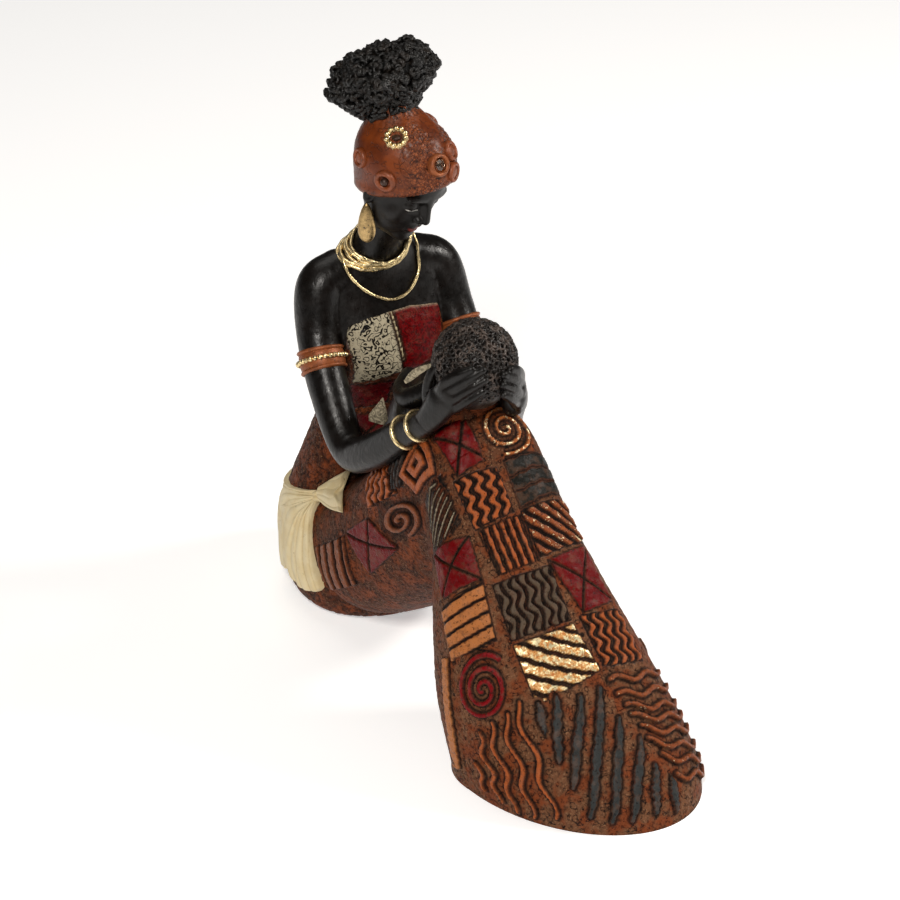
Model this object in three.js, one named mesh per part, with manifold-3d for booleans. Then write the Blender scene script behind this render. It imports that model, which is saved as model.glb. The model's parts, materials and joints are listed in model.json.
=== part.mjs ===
// A cast resin statuette of a seated mother who cradles an infant's head on her raised knees.
// Units are millimetres, +Z is up, the figure faces -Y and her left side is +X.
// Shapes are first laid out from the point of the ground under her spine (forward = -Y),
// and the whole casting is then shifted so that the origin is the middle of its footprint box.
import * as THREE from "three";
import Module from "manifold-3d";
import { mergeVertices } from "three/addons/utils/BufferGeometryUtils.js";

const wasm = await Module();
wasm.setup();

// Driving dimensions
const FOOTPRINT_MIDDLE = { x: 7.7, forward: 76.2 };
const HEAD = { x: -1, forward: 27, height: 189, yaw: 36, pitch: 30 };
const BABY_HEAD = { x: -1, forward: 89, height: 142, radius: 15 };
const RELIEF = 1.5;
const GROUND = 0.7;
const ROOT_DEPTH = 1.4;
const STONE = { radius: 2.1, gap: 0.3 };

// Patchwork of the lower skirt: borders in mm down the front ridge and in shares of the half girth
const PATCH_ROWS = [112, 131, 151, 171, 193, 217, 264];
const PATCH_COLUMNS = [-0.46, -0.23, 0.02, 0.27];
const PATCH_MARGIN = 0.08;

const SIDEWAYS = new THREE.Vector3(1, 0, 0);

// A point given as sideways, forward and up
const at = (x, forward, z) => new THREE.Vector3(x, -forward, z);
const spline = (points) => new THREE.CatmullRomCurve3(points, false, "catmullrom", 0.5);
const power = (value, exponent) => Math.sign(value) * Math.abs(value) ** exponent;
const mix = THREE.MathUtils.lerp;
const count = (length) => [...Array(length).keys()];

// A closed surface from rings of points: a fan closes each end, or the last ring meets the first
function ringSurface(rows, sides, pointAt, closed = false) {
  const positions = [];
  const faces = [];
  for (let row = 0; row < rows; row++)
    for (let side = 0; side < sides; side++) positions.push(...pointAt(row, side).toArray());
  for (let row = 0; row + 1 < rows + (closed ? 1 : 0); row++)
    for (let side = 0; side < sides; side++) {
      const next = (side + 1) % sides;
      const above = ((row + 1) % rows) * sides;
      const [a, b] = [row * sides + side, row * sides + next];
      faces.push(a, b, above + side, b, above + next, above + side);
    }
  for (const [row, turn] of closed ? [] : [[0, 1], [rows - 1, -1]]) {
    const middle = new THREE.Vector3();
    for (let side = 0; side < sides; side++)
      middle.add(new THREE.Vector3().fromArray(positions, 3 * (row * sides + side)));
    positions.push(...middle.divideScalar(sides).toArray());
    const hub = positions.length / 3 - 1;
    for (let side = 0; side < sides; side++) {
      const pair = [row * sides + side, row * sides + ((side + 1) % sides)];
      faces.push(hub, ...(turn > 0 ? pair.reverse() : pair));
    }
  }
  const geometry = new THREE.BufferGeometry();
  geometry.setAttribute("position", new THREE.Float32BufferAttribute(positions, 3));
  geometry.setIndex(faces);
  return geometry;
}

// A three.js geometry as a solid whose faces point out
function solid(geometry) {
  const bare = geometry.clone();
  for (const name of Object.keys(bare.attributes)) if (name !== "position") bare.deleteAttribute(name);
  const merged = mergeVertices(bare, 1e-4);
  const vertProperties = merged.attributes.position.array;
  const triVerts = new Uint32Array(merged.index.array);
  const made = new wasm.Manifold(new wasm.Mesh({ numProp: 3, vertProperties, triVerts }));
  if (made.volume() > 0) return made;
  for (let i = 0; i < triVerts.length; i += 3)
    [triVerts[i], triVerts[i + 1]] = [triVerts[i + 1], triVerts[i]];
  return new wasm.Manifold(new wasm.Mesh({ numProp: 3, vertProperties, triVerts }));
}

// A skin is a function of the share along a form and the turn round it. This closes one into a solid.
const skinSolid = (skin, rows, sides) =>
  solid(ringSurface(rows, sides, (row, side) => skin(row / (rows - 1), (side / sides) * 2 * Math.PI)));

// The skin between two rails in the middle plane. Each station gives the rail on the open side (outer),
// the rail on the far side (inner), the half width, how far from outer to inner the widest place is
// (belt), how far it stands to the side (shift), how far its open side leans sideways, and how square
// its section is.
function railSkin(stations) {
  const outer = spline(stations.map((s) => at(0, ...s.outer)));
  const inner = spline(stations.map((s) => at(0, ...s.inner)));
  const sizes = spline(stations.map((s) => new THREE.Vector3(s.half, s.belt, s.square)));
  const sides = spline(stations.map((s) => new THREE.Vector3(s.shift ?? 0, s.lean ?? 0, 0)));
  return (t, angle) => {
    const [o, i] = [outer.getPoint(t), inner.getPoint(t)];
    const { x: half, y: belt, z: square } = sizes.getPoint(t);
    const { x: shift, y: lean } = sides.getPoint(t);
    const [along, across] = [power(Math.cos(angle), square), power(Math.sin(angle), square)];
    const point = o.clone().lerp(i, belt).lerp(along > 0 ? o : i, Math.abs(along));
    point.x = shift + lean * along + half * across;
    return point;
  };
}

// The skin of a round or flattened limb along a curve. Each joint is [point, radius, thickness share].
// past runs from 0 to 1 over a round end.
function limbSkin(joints) {
  const path = spline(joints.map(([point]) => point));
  const sizes = spline(joints.map(([, radius, share = 1]) => new THREE.Vector3(radius, share, 0)));
  return (t, angle, past = 0) => {
    const { x: radius, y: share } = sizes.getPoint(t);
    const tangent = path.getTangent(t);
    const wide = SIDEWAYS.clone().addScaledVector(tangent, -SIDEWAYS.dot(tangent)).normalize();
    const deep = tangent.clone().cross(wide);
    const bend = past * 0.45 * Math.PI;
    return path.getPoint(t)
      .addScaledVector(tangent, radius * share * Math.sin(bend))
      .addScaledVector(wide, radius * share * Math.cos(bend) * Math.cos(angle))
      .addScaledVector(deep, radius * Math.cos(bend) * Math.sin(angle));
  };
}

// A limb with round ends
function limb(joints, rows, sides, capRows = 2) {
  const skin = limbSkin(joints);
  return solid(ringSurface(rows + 2 * capRows, sides, (row, side) => {
    const t = THREE.MathUtils.clamp((row - capRows) / (rows - 1), 0, 1);
    const past = (row - capRows - t * (rows - 1)) / capRows;
    return skin(t, (side / sides) * 2 * Math.PI, past);
  }));
}

// An ellipsoid with a bumpy surface: relief gives the share by which a direction stands out
function ellipsoid(middle, radii, columns, rows, turn = new THREE.Matrix4(), relief = () => 0) {
  const geometry = new THREE.SphereGeometry(1, columns, rows).rotateX(Math.PI / 2);
  const position = geometry.getAttribute("position");
  for (const i of count(position.count)) {
    const direction = new THREE.Vector3().fromBufferAttribute(position, i);
    const out = 1 + relief(direction);
    position.setXYZ(i, ...direction.multiply(radii).multiplyScalar(out).toArray());
  }
  return solid(geometry.applyMatrix4(turn).translate(...middle.toArray()));
}

// The direction that points out of a skin
function outwards(skin, t, angle) {
  const step = 0.004;
  const along = skin(Math.min(t + step, 1), angle).sub(skin(Math.max(t - step, 0), angle));
  const round = skin(t, angle + step).sub(skin(t, angle - step));
  const normal = along.cross(round).normalize();
  const middle = skin(t, 0).add(skin(t, Math.PI)).multiplyScalar(0.5);
  return normal.dot(skin(t, angle).sub(middle)) < 0 ? normal.negate() : normal;
}

// The turn that reaches a share of the half girth, walked from the open ridge
function turnAt(skin, t, share) {
  const side = Math.sign(share) || 1;
  if (Math.abs(share) > 1) return turnAt(skin, t, share - 2 * side) + 2 * Math.PI * side;
  const steps = 30;
  const walked = [0];
  for (let step = 1; step <= steps; step++) {
    const [from, to] = [step - 1, step].map((n) => skin(t, (side * n * Math.PI) / steps));
    walked.push(walked[step - 1] + from.distanceTo(to));
  }
  const goal = Math.abs(share) * walked[steps];
  const step = walked.findIndex((length) => length >= goal);
  if (step < 1) return 0;
  const part = (goal - walked[step - 1]) / (walked[step] - walked[step - 1]);
  return (side * (step - 1 + part) * Math.PI) / steps;
}

// Places on a railed skin by millimetres along its open ridge and shares of the half girth round from it
function placesOn(skin, stations) {
  const ridge = spline(stations.map((s) => at(0, ...s.outer)));
  const length = ridge.getLength();
  return (along, share) => {
    const t = ridge.getUtoTmapping(along / length);
    return [t, turnAt(skin, t, share)];
  };
}

// A raised stroke over a skin along a course of [t, angle], with the section of a low ridge.
// The width may change along it.
function strokeOn(skin, course, width, height, closed = false) {
  const points = course.map((place) => skin(...place));
  const last = course.length - 1;
  const frames = course.map((place, i) => {
    const before = points[closed ? (i + last) % (last + 1) : Math.max(i - 1, 0)];
    const after = points[closed ? (i + 1) % (last + 1) : Math.min(i + 1, last)];
    const out = outwards(skin, ...place);
    const aside = out.clone().cross(after.clone().sub(before)).normalize();
    return { out, aside: aside.multiplyScalar(typeof width === "number" ? width : width(i / last)) };
  });
  const section = [[-0.6, -ROOT_DEPTH], [0.6, -ROOT_DEPTH], [0, height]];
  return solid(ringSurface(course.length, section.length, (row, side) => {
    const { aside, out } = frames[row];
    const [across, up] = section[side];
    return points[row].clone().addScaledVector(aside, across).addScaledVector(out, up);
  }, closed));
}

// A thin carved pad over a skin: places are [t, angle], each with its height, and faces index them.
// The same net lies under it at the root depth, and walls join the two along the open edges.
function padOn(skin, places, heights, faces) {
  const size = places.length;
  const tops = places.map((place, i) => skin(...place).addScaledVector(outwards(skin, ...place), heights[i]));
  const roots = places.map((place) => skin(...place).addScaledVector(outwards(skin, ...place), -ROOT_DEPTH));
  const index = faces.flatMap(([a, b, c]) => [a, b, c, c + size, b + size, a + size]);
  const edges = new Set(faces.flatMap(([a, b, c]) => [`${a} ${b}`, `${b} ${c}`, `${c} ${a}`]));
  for (const edge of edges) {
    const [a, b] = edge.split(" ").map(Number);
    if (!edges.has(`${b} ${a}`)) index.push(b, a, a + size, b, a + size, b + size);
  }
  const geometry = new THREE.BufferGeometry().setFromPoints([...tops, ...roots]);
  geometry.setIndex(index);
  return solid(geometry);
}

// Long dress over hips, waist and bust, then the bare shoulders and neck
const torsoStations = [
  { outer: [25, 0], inner: [-29, 0], half: 30, belt: 0.5, square: 0.92 },
  { outer: [31, 5], inner: [-35, 6], half: 34, belt: 0.5, square: 0.92 },
  { outer: [36, 20], inner: [-38, 22], half: 35.5, belt: 0.5, square: 0.92 },
  { outer: [32, 40], inner: [-35, 42], half: 33.5, belt: 0.5, square: 0.92 },
  { outer: [23, 60], inner: [-27, 62], half: 27, belt: 0.5, square: 0.92 },
  { outer: [17, 80], inner: [-19, 80], half: 21.5, belt: 0.5, square: 0.92 },
  { outer: [19, 96], inner: [-16, 95], half: 21.5, belt: 0.5, square: 0.92 },
  { outer: [26, 109], inner: [-14.5, 108], half: 23.5, belt: 0.5, square: 0.88 },
  { outer: [24, 121], inner: [-13, 122], half: 24.5, belt: 0.5, square: 0.88 },
  { outer: [19, 132], inner: [-10, 135], half: 25, belt: 0.5, square: 0.88 },
  { outer: [16, 140], inner: [-6, 144], half: 23.5, belt: 0.5, square: 0.92 },
  { outer: [15, 147], inner: [-3, 151], half: 17, belt: 0.5, square: 1 },
  { outer: [17, 154], inner: [0, 157], half: 10.5, belt: 0.5, square: 1 },
  { outer: [21, 162], inner: [5, 165], half: 8, belt: 0.5, square: 1 },
  { outer: [28, 180], inner: [13, 184], half: 8.5, belt: 0.5, square: 1 },
];
const torsoSkin = railSkin(torsoStations);
const onTorso = placesOn(torsoSkin, torsoStations);

// Skirt over both legs: from the lap over the knees and down to the flared hem
const skirtStations = [
  { outer: [2, 52], inner: [2, 5], half: 32.5, belt: 0.5, square: 0.8 },
  { outer: [28, 70], inner: [30, 5], half: 33, belt: 0.5, square: 0.8 },
  { outer: [52, 92], inner: [54, 20], half: 29, belt: 0.45, square: 0.8 },
  { outer: [73, 111], inner: [75, 38], half: 24.5, belt: 0.4, square: 0.8 },
  { outer: [89, 121], inner: [87, 50], half: 22, belt: 0.35, square: 0.8, shift: 0.5 },
  { outer: [103, 109], inner: [92, 50], half: 23, belt: 0.35, square: 0.8, shift: 1, lean: 1 },
  { outer: [117, 91], inner: [95, 42], half: 26, belt: 0.37, square: 0.8, shift: 1.5, lean: 2 },
  { outer: [133, 70], inner: [98, 31], half: 31, belt: 0.4, square: 0.82, shift: 3.5, lean: 3 },
  { outer: [152, 47], inner: [102, 20], half: 36, belt: 0.45, square: 0.86, shift: 6.5, lean: 5 },
  { outer: [171, 26], inner: [107, 9], half: 39, belt: 0.54, square: 0.92, shift: 10, lean: 7.5 },
  { outer: [186, 9], inner: [110, 3], half: 40, belt: 0.6, square: 1, shift: 12, lean: 10 },
  { outer: [190, 0], inner: [111, 0], half: 39.5, belt: 0.62, square: 1, shift: 12, lean: 11 },
];
const skirtSkin = railSkin(skirtStations);
const onSkirt = placesOn(skirtSkin, skirtStations);

const shapes = [];
shapes.push(skinSolid(torsoSkin, 18, 14));
shapes.push(skinSolid(skirtSkin, 17, 16));

// A pattern fills a patch, a unit square with u across it and v down it. Some patterns are carved nets.
function net(columns, rows, pointAt) {
  const points = count(rows).flatMap((row) => count(columns).map((column) => pointAt(column, row)));
  const faces = count(rows - 1).flatMap((row) => count(columns - 1).flatMap((column) => {
    const corner = row * columns + column;
    return [[corner, corner + 1, corner + columns], [corner + 1, corner + columns + 1, corner + columns]];
  }));
  const border = [
    ...count(columns - 1),
    ...count(rows - 1).map((row) => (row + 1) * columns - 1),
    ...count(columns - 1).map((column) => rows * columns - 1 - column),
    ...count(rows - 1).map((row) => (rows - 1 - row) * columns),
  ];
  return { points, faces, border };
}

// Parallel ridges run down the patch (or across it), lean as they go, may zigzag in steps,
// and may sink at their ends
function ridges({ number, across = false, lean = 0, wave = 0, steps = 1, pointed = false }) {
  const room = Math.abs(lean) / 2 + wave;
  const pointAt = (line, step) => {
    const along = step / steps;
    const shift = lean * (along - 0.5) + wave * (step % 2 ? 1 : -1);
    const aside = mix(room, 1 - room, line / (2 * number)) + shift;
    const crest = pointed ? Math.sin(Math.PI * along) : 1;
    return [...(across ? [along, aside] : [aside, along]), line % 2 ? mix(GROUND, RELIEF, crest) : GROUND];
  };
  return across
    ? net(steps + 1, 2 * number + 1, (step, line) => pointAt(line, step))
    : net(2 * number + 1, steps + 1, pointAt);
}

// Four raised triangles parted by a diagonal cross of grooves
function cross() {
  const points = [[0.5, 0.5, GROUND]];
  const faces = [];
  const border = [];
  for (const quarter of count(4)) {
    const [a, b, inner, groove] = count(4).map((i) => 1 + 4 * quarter + i);
    const nextA = quarter < 3 ? groove + 1 : 1;
    for (const [u, v, height] of [[0.13, 0, RELIEF], [0.87, 0, RELIEF], [0.5, 0.38, RELIEF], [1, 0, GROUND]])
      points.push([...count(quarter).reduce(([x, y]) => [1 - y, x], [u, v]), height]);
    faces.push([a, b, inner], [0, inner, b], [0, b, groove], [0, groove, nextA], [0, nextA, nextA + 2]);
    border.push(a, b, groove);
  }
  return { points, faces, border };
}

// A flat patch under a spiral cord that winds in to the middle
const spiral = ({ turns, start, hand, width }) => ({
  width,
  course: count(Math.round(5 * turns) + 1).map((n, _, all) => {
    const share = n / (all.length - 1);
    const angle = THREE.MathUtils.degToRad(start + hand * 360 * turns * share);
    const radius = mix(0.5, 0.1, share);
    return [0.5 + radius * Math.cos(angle), 0.5 + radius * Math.sin(angle)];
  }),
});

// A flat patch under the raised outline of a diamond
const diamond = (width) => ({
  width,
  closed: true,
  course: [[0.5, 0.05], [0.95, 0.5], [0.5, 0.95], [0.05, 0.5]],
});

// Faces between two loops of points that go the same way round the middle of a patch
function stitch(outer, inner, uvOf) {
  const turns = (loop) => {
    const angles = [...loop, loop[0]].map(uvOf).map(([u, v]) => Math.atan2(v - 0.5, u - 0.5));
    for (let i = 1; i < angles.length; i++)
      angles[i] -= 2 * Math.PI * Math.round((angles[i] - angles[i - 1]) / (2 * Math.PI));
    return [...angles, Infinity];
  };
  const [outerTurns, innerTurns] = [turns(outer), turns(inner)];
  const faces = [];
  let [i, j] = [0, 0];
  while (i < outer.length || j < inner.length) {
    const [from, hub] = [outer[i % outer.length], inner[j % inner.length]];
    if (outerTurns[i + 1] <= innerTurns[j + 1]) faces.push([from, outer[++i % outer.length], hub]);
    else faces.push([inner[++j % inner.length], hub, from]);
  }
  return faces;
}

// A quilt of patches on the skirt: borders in mm down the ridge and in shares round it
function quilt(rowBorders, columnBorders, patterns) {
  const halves = (borders) => borders.flatMap((n, i) => (i ? [(borders[i - 1] + n) / 2, n] : [n]));
  const [downs, shares] = [halves(rowBorders), halves(columnBorders)];
  const places = downs.flatMap((down) => shares.map((share) => onSkirt(down, share)));
  const heights = places.map(() => GROUND);
  const faces = [];
  patterns.forEach((patternRow, r) => patternRow.forEach((pattern, c) => {
    const ring = [[0, 0], [1, 0], [2, 0], [2, 1], [2, 2], [1, 2], [0, 2], [0, 1]];
    const outer = ring.map(([u, v]) => (2 * r + v) * shares.length + 2 * c + u);
    const middle = (2 * r + 1) * shares.length + 2 * c + 1;
    const inside = (share) => mix(PATCH_MARGIN, 1 - PATCH_MARGIN, share);
    const place = ([u, v]) => onSkirt(mix(rowBorders[r], rowBorders[r + 1], inside(v)),
      mix(columnBorders[c], columnBorders[c + 1], inside(u)));
    if (pattern?.faces) {
      const first = places.length;
      places.push(...pattern.points.map(place));
      heights.push(...pattern.points.map((point) => point[2]));
      faces.push(...pattern.faces.map((face) => face.map((i) => i + first)));
      const uvOf = (i) => (i < first ? ring[outer.indexOf(i)].map((n) => n / 2) : pattern.points[i - first]);
      faces.push(...stitch(outer, pattern.border.map((i) => i + first), uvOf));
    } else {
      faces.push(...outer.map((from, i) => [from, outer[(i + 1) % outer.length], middle]));
      const { course, width, closed } = pattern ?? {};
      if (course) shapes.push(strokeOn(skirtSkin, course.map(place), width, RELIEF, closed));
    }
  }));
  shapes.push(padOn(skirtSkin, places, heights, faces));
}

quilt(PATCH_ROWS, PATCH_COLUMNS, [
  [null, cross(), spiral({ turns: 2, start: 120, hand: -1, width: 2.4 })],
  [ridges({ number: 3 }), ridges({ number: 3, wave: 0.06, steps: 3 }), ridges({ number: 3, across: true })],
  [cross(), ridges({ number: 4 }), ridges({ number: 3, lean: 0.3 })],
  [ridges({ number: 3, across: true }), ridges({ number: 3, wave: 0.05, steps: 3 }), cross()],
  [spiral({ turns: 2.4, start: -55, hand: -1, width: 2.2 }), ridges({ number: 4, across: true, lean: 0.2 }),
    ridges({ number: 3, wave: 0.06, steps: 3 })],
  [ridges({ number: 4, wave: 0.04, steps: 3, lean: 0.15 }),
    ridges({ number: 6, lean: -0.1, steps: 2, pointed: true }),
    ridges({ number: 5, across: true, wave: 0.01, steps: 2 })],
]);
quilt([197, 256], [-0.57, -0.5], [[ridges({ number: 1 })]]);

// Patches of the thighs: the right side shows a full set, the left a plainer one
quilt([55, 81, 97, 112], [-0.42, -0.2], [
  [ridges({ number: 3, wave: 0.06, steps: 3, across: true })],
  [ridges({ number: 3, across: true })],
  [diamond(3)],
]);
quilt([22, 50, 84, 109, 131], [-0.64, -0.45], [
  [ridges({ number: 4, across: true })],
  [cross()],
  [spiral({ turns: 1.6, start: 200, hand: 1, width: 3 })],
  [ridges({ number: 3, across: true })],
]);
quilt([72, 98], [0.24, 0.44], [[cross()]]);

// Cream sash: pleats that fan out of a knot on the right hip, round the back and down in a tail
const KNOT = { along: 56, share: -0.37 };
const edge = (heights) => new THREE.SplineCurve([-0.37, -0.65, -1, -1.4, -1.6]
  .map((share, i) => new THREE.Vector2(share, heights[i])));
const [bandTop, bandBottom] = [edge([58, 46, 42, 47, 54]), edge([54, 20, 22, 34, 49])];
const BAND_PLEATS = 3;
for (const pleat of count(BAND_PLEATS)) {
  const height = (t) => mix(bandTop.getPoint(t).y, bandBottom.getPoint(t).y, (pleat + 0.5) / BAND_PLEATS);
  const course = count(6).map((n) => onTorso(height(n / 5), bandTop.getPoint(n / 5).x));
  const width = (t) => (1.3 * (bandTop.getPoint(t).y - bandBottom.getPoint(t).y)) / BAND_PLEATS;
  shapes.push(strokeOn(torsoSkin, course, width, 2.4));
}
const pleatTo = (ends, width) => shapes.push(strokeOn(torsoSkin,
  [onTorso(KNOT.along, KNOT.share), ...ends.map((end) => onTorso(...end))], (t) => mix(3, width, t), 2.4));
for (const shift of [-0.1, -0.05, 0])
  pleatTo([[40, -0.385 + shift], [24, -0.35 + shift], [10, -0.34 + shift]], 8);
for (const shift of [-0.1, 0])
  pleatTo([[36, -0.56 + shift], [22, -0.62 + shift], [8, -0.64 + shift]], 10);
for (const fanEnd of [[67, -0.235], [60, -0.215], [53, -0.235]]) pleatTo([fanEnd], 8);
shapes.push(ellipsoid(torsoSkin(...onTorso(KNOT.along, KNOT.share)), new THREE.Vector3(3.4, 3.6, 4), 8, 5));

// Gold necklaces: tight strands and one long loop
const NECKLACE_STEPS = 10;
function necklace(front, back, spread, width) {
  const course = count(NECKLACE_STEPS).map((n) => {
    const share = (n + 0.5) / (NECKLACE_STEPS / 2) - 1;
    return onTorso(mix(back, front, Math.exp(-((share / spread) ** 2))), share);
  });
  shapes.push(strokeOn(torsoSkin, course, width, 1.4, true));
}
necklace(155.5, 162, 0.4, 8);
necklace(143, 158.5, 0.27, 2.4);

// Arms with an armband each and two bracelets on the right wrist
const armJoints = (side) => [
  [at(side * 16, 4, 142), 8.8],
  [at(side * 24, 5, 137.5), 9],
  [at(side * 27.5, 11, 122), 8.2],
  [at(side * 29, 24, 105), 7.6],
  [at(side * 29, 42, 89), 6.8],
  [at(side * 26.5, 58, 96), 6.8],
  [at(side * 22, 75, 111), 5.8],
  [at(side * 18.5, 87, 121), 4.8],
];
const ringRound = (skin, t, steps, width, height) =>
  shapes.push(strokeOn(skin, count(steps).map((n) => [t, (n / steps) * 2 * Math.PI]), width, height, true));
for (const side of [-1, 1]) {
  shapes.push(limb(armJoints(side), 10, 8, 1));
  ringRound(limbSkin(armJoints(side)), 0.355, 8, 9, 1.3);
}
ringRound(limbSkin(armJoints(-1)), 0.9, 8, 5.5, 1.5);

// Hands that cup the infant's head: the left one is tucked in closer
const handAt = (side, x, forward, z) => at(side * x - (side > 0 ? 2 : 0), forward, z);
const handJoints = (side) => [
  [handAt(side, 18.5, 86, 120.5), 4.6, 0.9],
  [handAt(side, 16.5, 92, 127), 6.6, 0.55],
  [handAt(side, 15.5, 96, 133), 6.8, 0.45],
];
const fingerJoints = (side, place) => [
  [handAt(side, 15.5, 94 + place * 0.8, 134 - place * 0.55), 2.1],
  [handAt(side, 13.5, 99.5 + place * 0.7, 139 - place * 0.7), 2],
  [handAt(side, 8.5, 104 + place * 0.35, 143.5 - place * 0.9), 1.5],
];
const thumbJoints = (side) => [
  [handAt(side, 16, 87, 128), 2.3],
  [handAt(side, 16, 86, 136), 2.1],
  [handAt(side, 14.5, 87, 142), 1.6],
];
for (const side of [-1, 1]) {
  shapes.push(limb(handJoints(side), 3, 7, 1));
  shapes.push(limb(thumbJoints(side), 3, 4, 1));
  for (const place of [-4.5, -1.5, 1.5, 4.5]) shapes.push(limb(fingerJoints(side, place), 3, 4, 1));
}

// Head: skull, jaw, chin, nose, lips, lowered lids and ears
const headTurn = new THREE.Matrix4().makeRotationFromEuler(
  new THREE.Euler(THREE.MathUtils.degToRad(HEAD.pitch), 0, THREE.MathUtils.degToRad(HEAD.yaw), "ZYX"));
const headMiddle = at(HEAD.x, HEAD.forward, HEAD.height);
const onHead = (x, forward, up) => at(x, forward, up).applyMatrix4(headTurn).add(headMiddle);
const headPart = (x, forward, up, radii, columns = 8, rows = 5) =>
  shapes.push(ellipsoid(onHead(x, forward, up), new THREE.Vector3(...radii), columns, rows, headTurn));
headPart(0, 0, 0, [15, 18, 17], 12, 8);
headPart(0, 4.5, -12, [11, 12.5, 15], 12, 8);
headPart(0, 16.8, -16, [3.6, 3, 3], 7, 4);
const noseBridge = [[onHead(0, 16.8, -1), 1.2], [onHead(0, 18.6, -4), 1.6], [onHead(0, 19.2, -6.5), 2.3]];
shapes.push(limb(noseBridge, 3, 5, 1));
headPart(0, 16.6, -11.6, [3.4, 2, 1.7], 8, 4);
for (const side of [-1, 1]) {
  headPart(side * 5.6, 13.6, -1.2, [3.2, 2.4, 2], 7, 4);
  headPart(side * 14, -1, -6, [2, 3.4, 5], 7, 5);
  const lobe = onHead(side * 15, -1, -11);
  shapes.push(ellipsoid(lobe.add(at(side * 0.5, 0, -6.8)), new THREE.Vector3(1.7, 3.6, 9), 7, 5));
}

// Wrap over the skull, drawn in to the hair, with raised buttons
const WRAP = { middle: [0, -1.5, 6.5], radii: [18, 20.5, 16.5] };
headPart(...WRAP.middle, WRAP.radii, 15, 9);
shapes.push(limb([[onHead(0, -8, 12), 12], [onHead(0.5, -15, 19), 8.6]], 2, 10, 1));
// A round button, as a ring (hollow > 0) or a disc, on the wrap in a direction of the head's own frame
function button(direction, radius, height, hollow) {
  const radii = new THREE.Vector3(...WRAP.radii);
  const local = at(...direction).normalize();
  const reach = 1 / local.clone().divide(radii).length();
  const base = onHead(...WRAP.middle).add(local.clone().multiplyScalar(reach).applyMatrix4(headTurn));
  const out = local.clone().divide(radii).divide(radii).normalize().applyMatrix4(headTurn);
  const aside = new THREE.Vector3(0, 0, 1).cross(out).normalize();
  const up = out.clone().cross(aside);
  const placed = (r, lift, angle) => base.clone().addScaledVector(out, lift)
    .addScaledVector(aside, r * Math.cos(angle)).addScaledVector(up, r * Math.sin(angle));
  const profile = [[radius, -3], [radius, height], [hollow, height], [hollow, 0.2]];
  const sides = 8;
  shapes.push(solid(ringSurface(hollow ? 4 : 2, sides, (row, side) =>
    placed(...profile[row], (side / sides) * 2 * Math.PI))));
  return placed;
}
button([-11.5, -3.7, 12.2], 4.5, 1.2, 2.2);
const cup = button([-6.1, 13.6, 10.9], 4.3, 1.8, STONE.radius + STONE.gap);
button([-17.6, 2.5, -1.7], 4.2, 1.2, 2);
for (const direction of [[-14.8, -10.8, -2.7], [2.9, 12.4, 12.7], [1.6, 18.1, 7.4], [14, -3, 8]])
  button(direction, 3.8, 1.2, 0);

// Hair that bursts out of the back of the wrap as a wide, curly puff
const puffAxis = onHead(0, -0.8, 0.6).sub(headMiddle).normalize();
const puffAcross = new THREE.Vector3(0, 0, 1).cross(puffAxis).normalize();
const puffUp = puffAxis.clone().cross(puffAcross);
const puffRoot = onHead(1.5, -12, 13).add(at(2.4, 1.1, -0.6));
const puffProfile = spline([[7, 0], [9, 6], [15, 10.5], [19.8, 16.5], [20.4, 21], [16, 26], [7.5, 29]]
  .map(([radius, along]) => new THREE.Vector3(radius, along, 0)));
const PUFF = { rows: 9, sides: 18, curl: 0.06 };
shapes.push(solid(ringSurface(PUFF.rows, PUFF.sides, (row, side) => {
  const { x, y: along } = puffProfile.getPoint(row / (PUFF.rows - 1));
  const radius = x * (1 + PUFF.curl * Math.sin(12.9 * row + 78.2 * side));
  const angle = (side / PUFF.sides) * 2 * Math.PI;
  return puffRoot.clone()
    .addScaledVector(puffAxis, along)
    .addScaledVector(puffAcross, radius * Math.cos(angle))
    .addScaledVector(puffUp, radius * Math.sin(angle));
})));

// Infant: curly head, wrapped body on the lap, bent arm with a cuff, and a face turned to the mother
const babyMiddle = at(BABY_HEAD.x, BABY_HEAD.forward, BABY_HEAD.height);
const curls = ({ x, y, z }) => 0.035 * Math.sin(9 * Math.atan2(x, y)) * Math.sin(14 * z);
shapes.push(ellipsoid(babyMiddle, new THREE.Vector3(1, 1, 1).multiplyScalar(BABY_HEAD.radius), 14, 8,
  new THREE.Matrix4(), curls));
const onBaby = (x, forward, up) => babyMiddle.clone().add(at(x, forward, up));
shapes.push(ellipsoid(onBaby(0, -6, 0.5), new THREE.Vector3(10.5, 10.5, 11), 10, 6));
shapes.push(ellipsoid(onBaby(0, -16, 1.5), new THREE.Vector3(1.6, 1.8, 1.8), 6, 4));
const babyBody = [[at(0, 78, 130), 7], [at(-1, 66, 121), 11], [at(-1, 50, 106), 12], [at(0, 34, 88), 11]];
const babyArm = [
  [at(-8, 74, 126), 4.2], [at(-15, 64, 118), 4], [at(-13, 54, 117), 3.4], [at(-8, 49, 119), 2.8],
];
shapes.push(limb(babyBody, 5, 8), limb(babyArm, 5, 6, 1));

// The casting is solid: only the outer shell of the joined shapes is kept, so small sealed pockets are filled
const shells = wasm.Manifold.union(shapes).decompose().filter((shell) => shell.volume() > 0);
const toOrigin = [-FOOTPRINT_MIDDLE.x, FOOTPRINT_MIDDLE.forward, 0];
const casting = wasm.Manifold.union(shells).translate(toOrigin);

// Clear stone in the cup: a cut dome that keeps a gap of glue to the ring
const stoneProfile = [[STONE.radius * 0.8, 0.2 + STONE.gap], [STONE.radius, 1.2], [STONE.radius * 0.55, 2.3]];
const STONE_SIDES = 8;
const stone = solid(ringSurface(stoneProfile.length, STONE_SIDES, (row, side) =>
  cup(...stoneProfile[row], (side / STONE_SIDES) * 2 * Math.PI))).translate(toOrigin);

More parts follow.
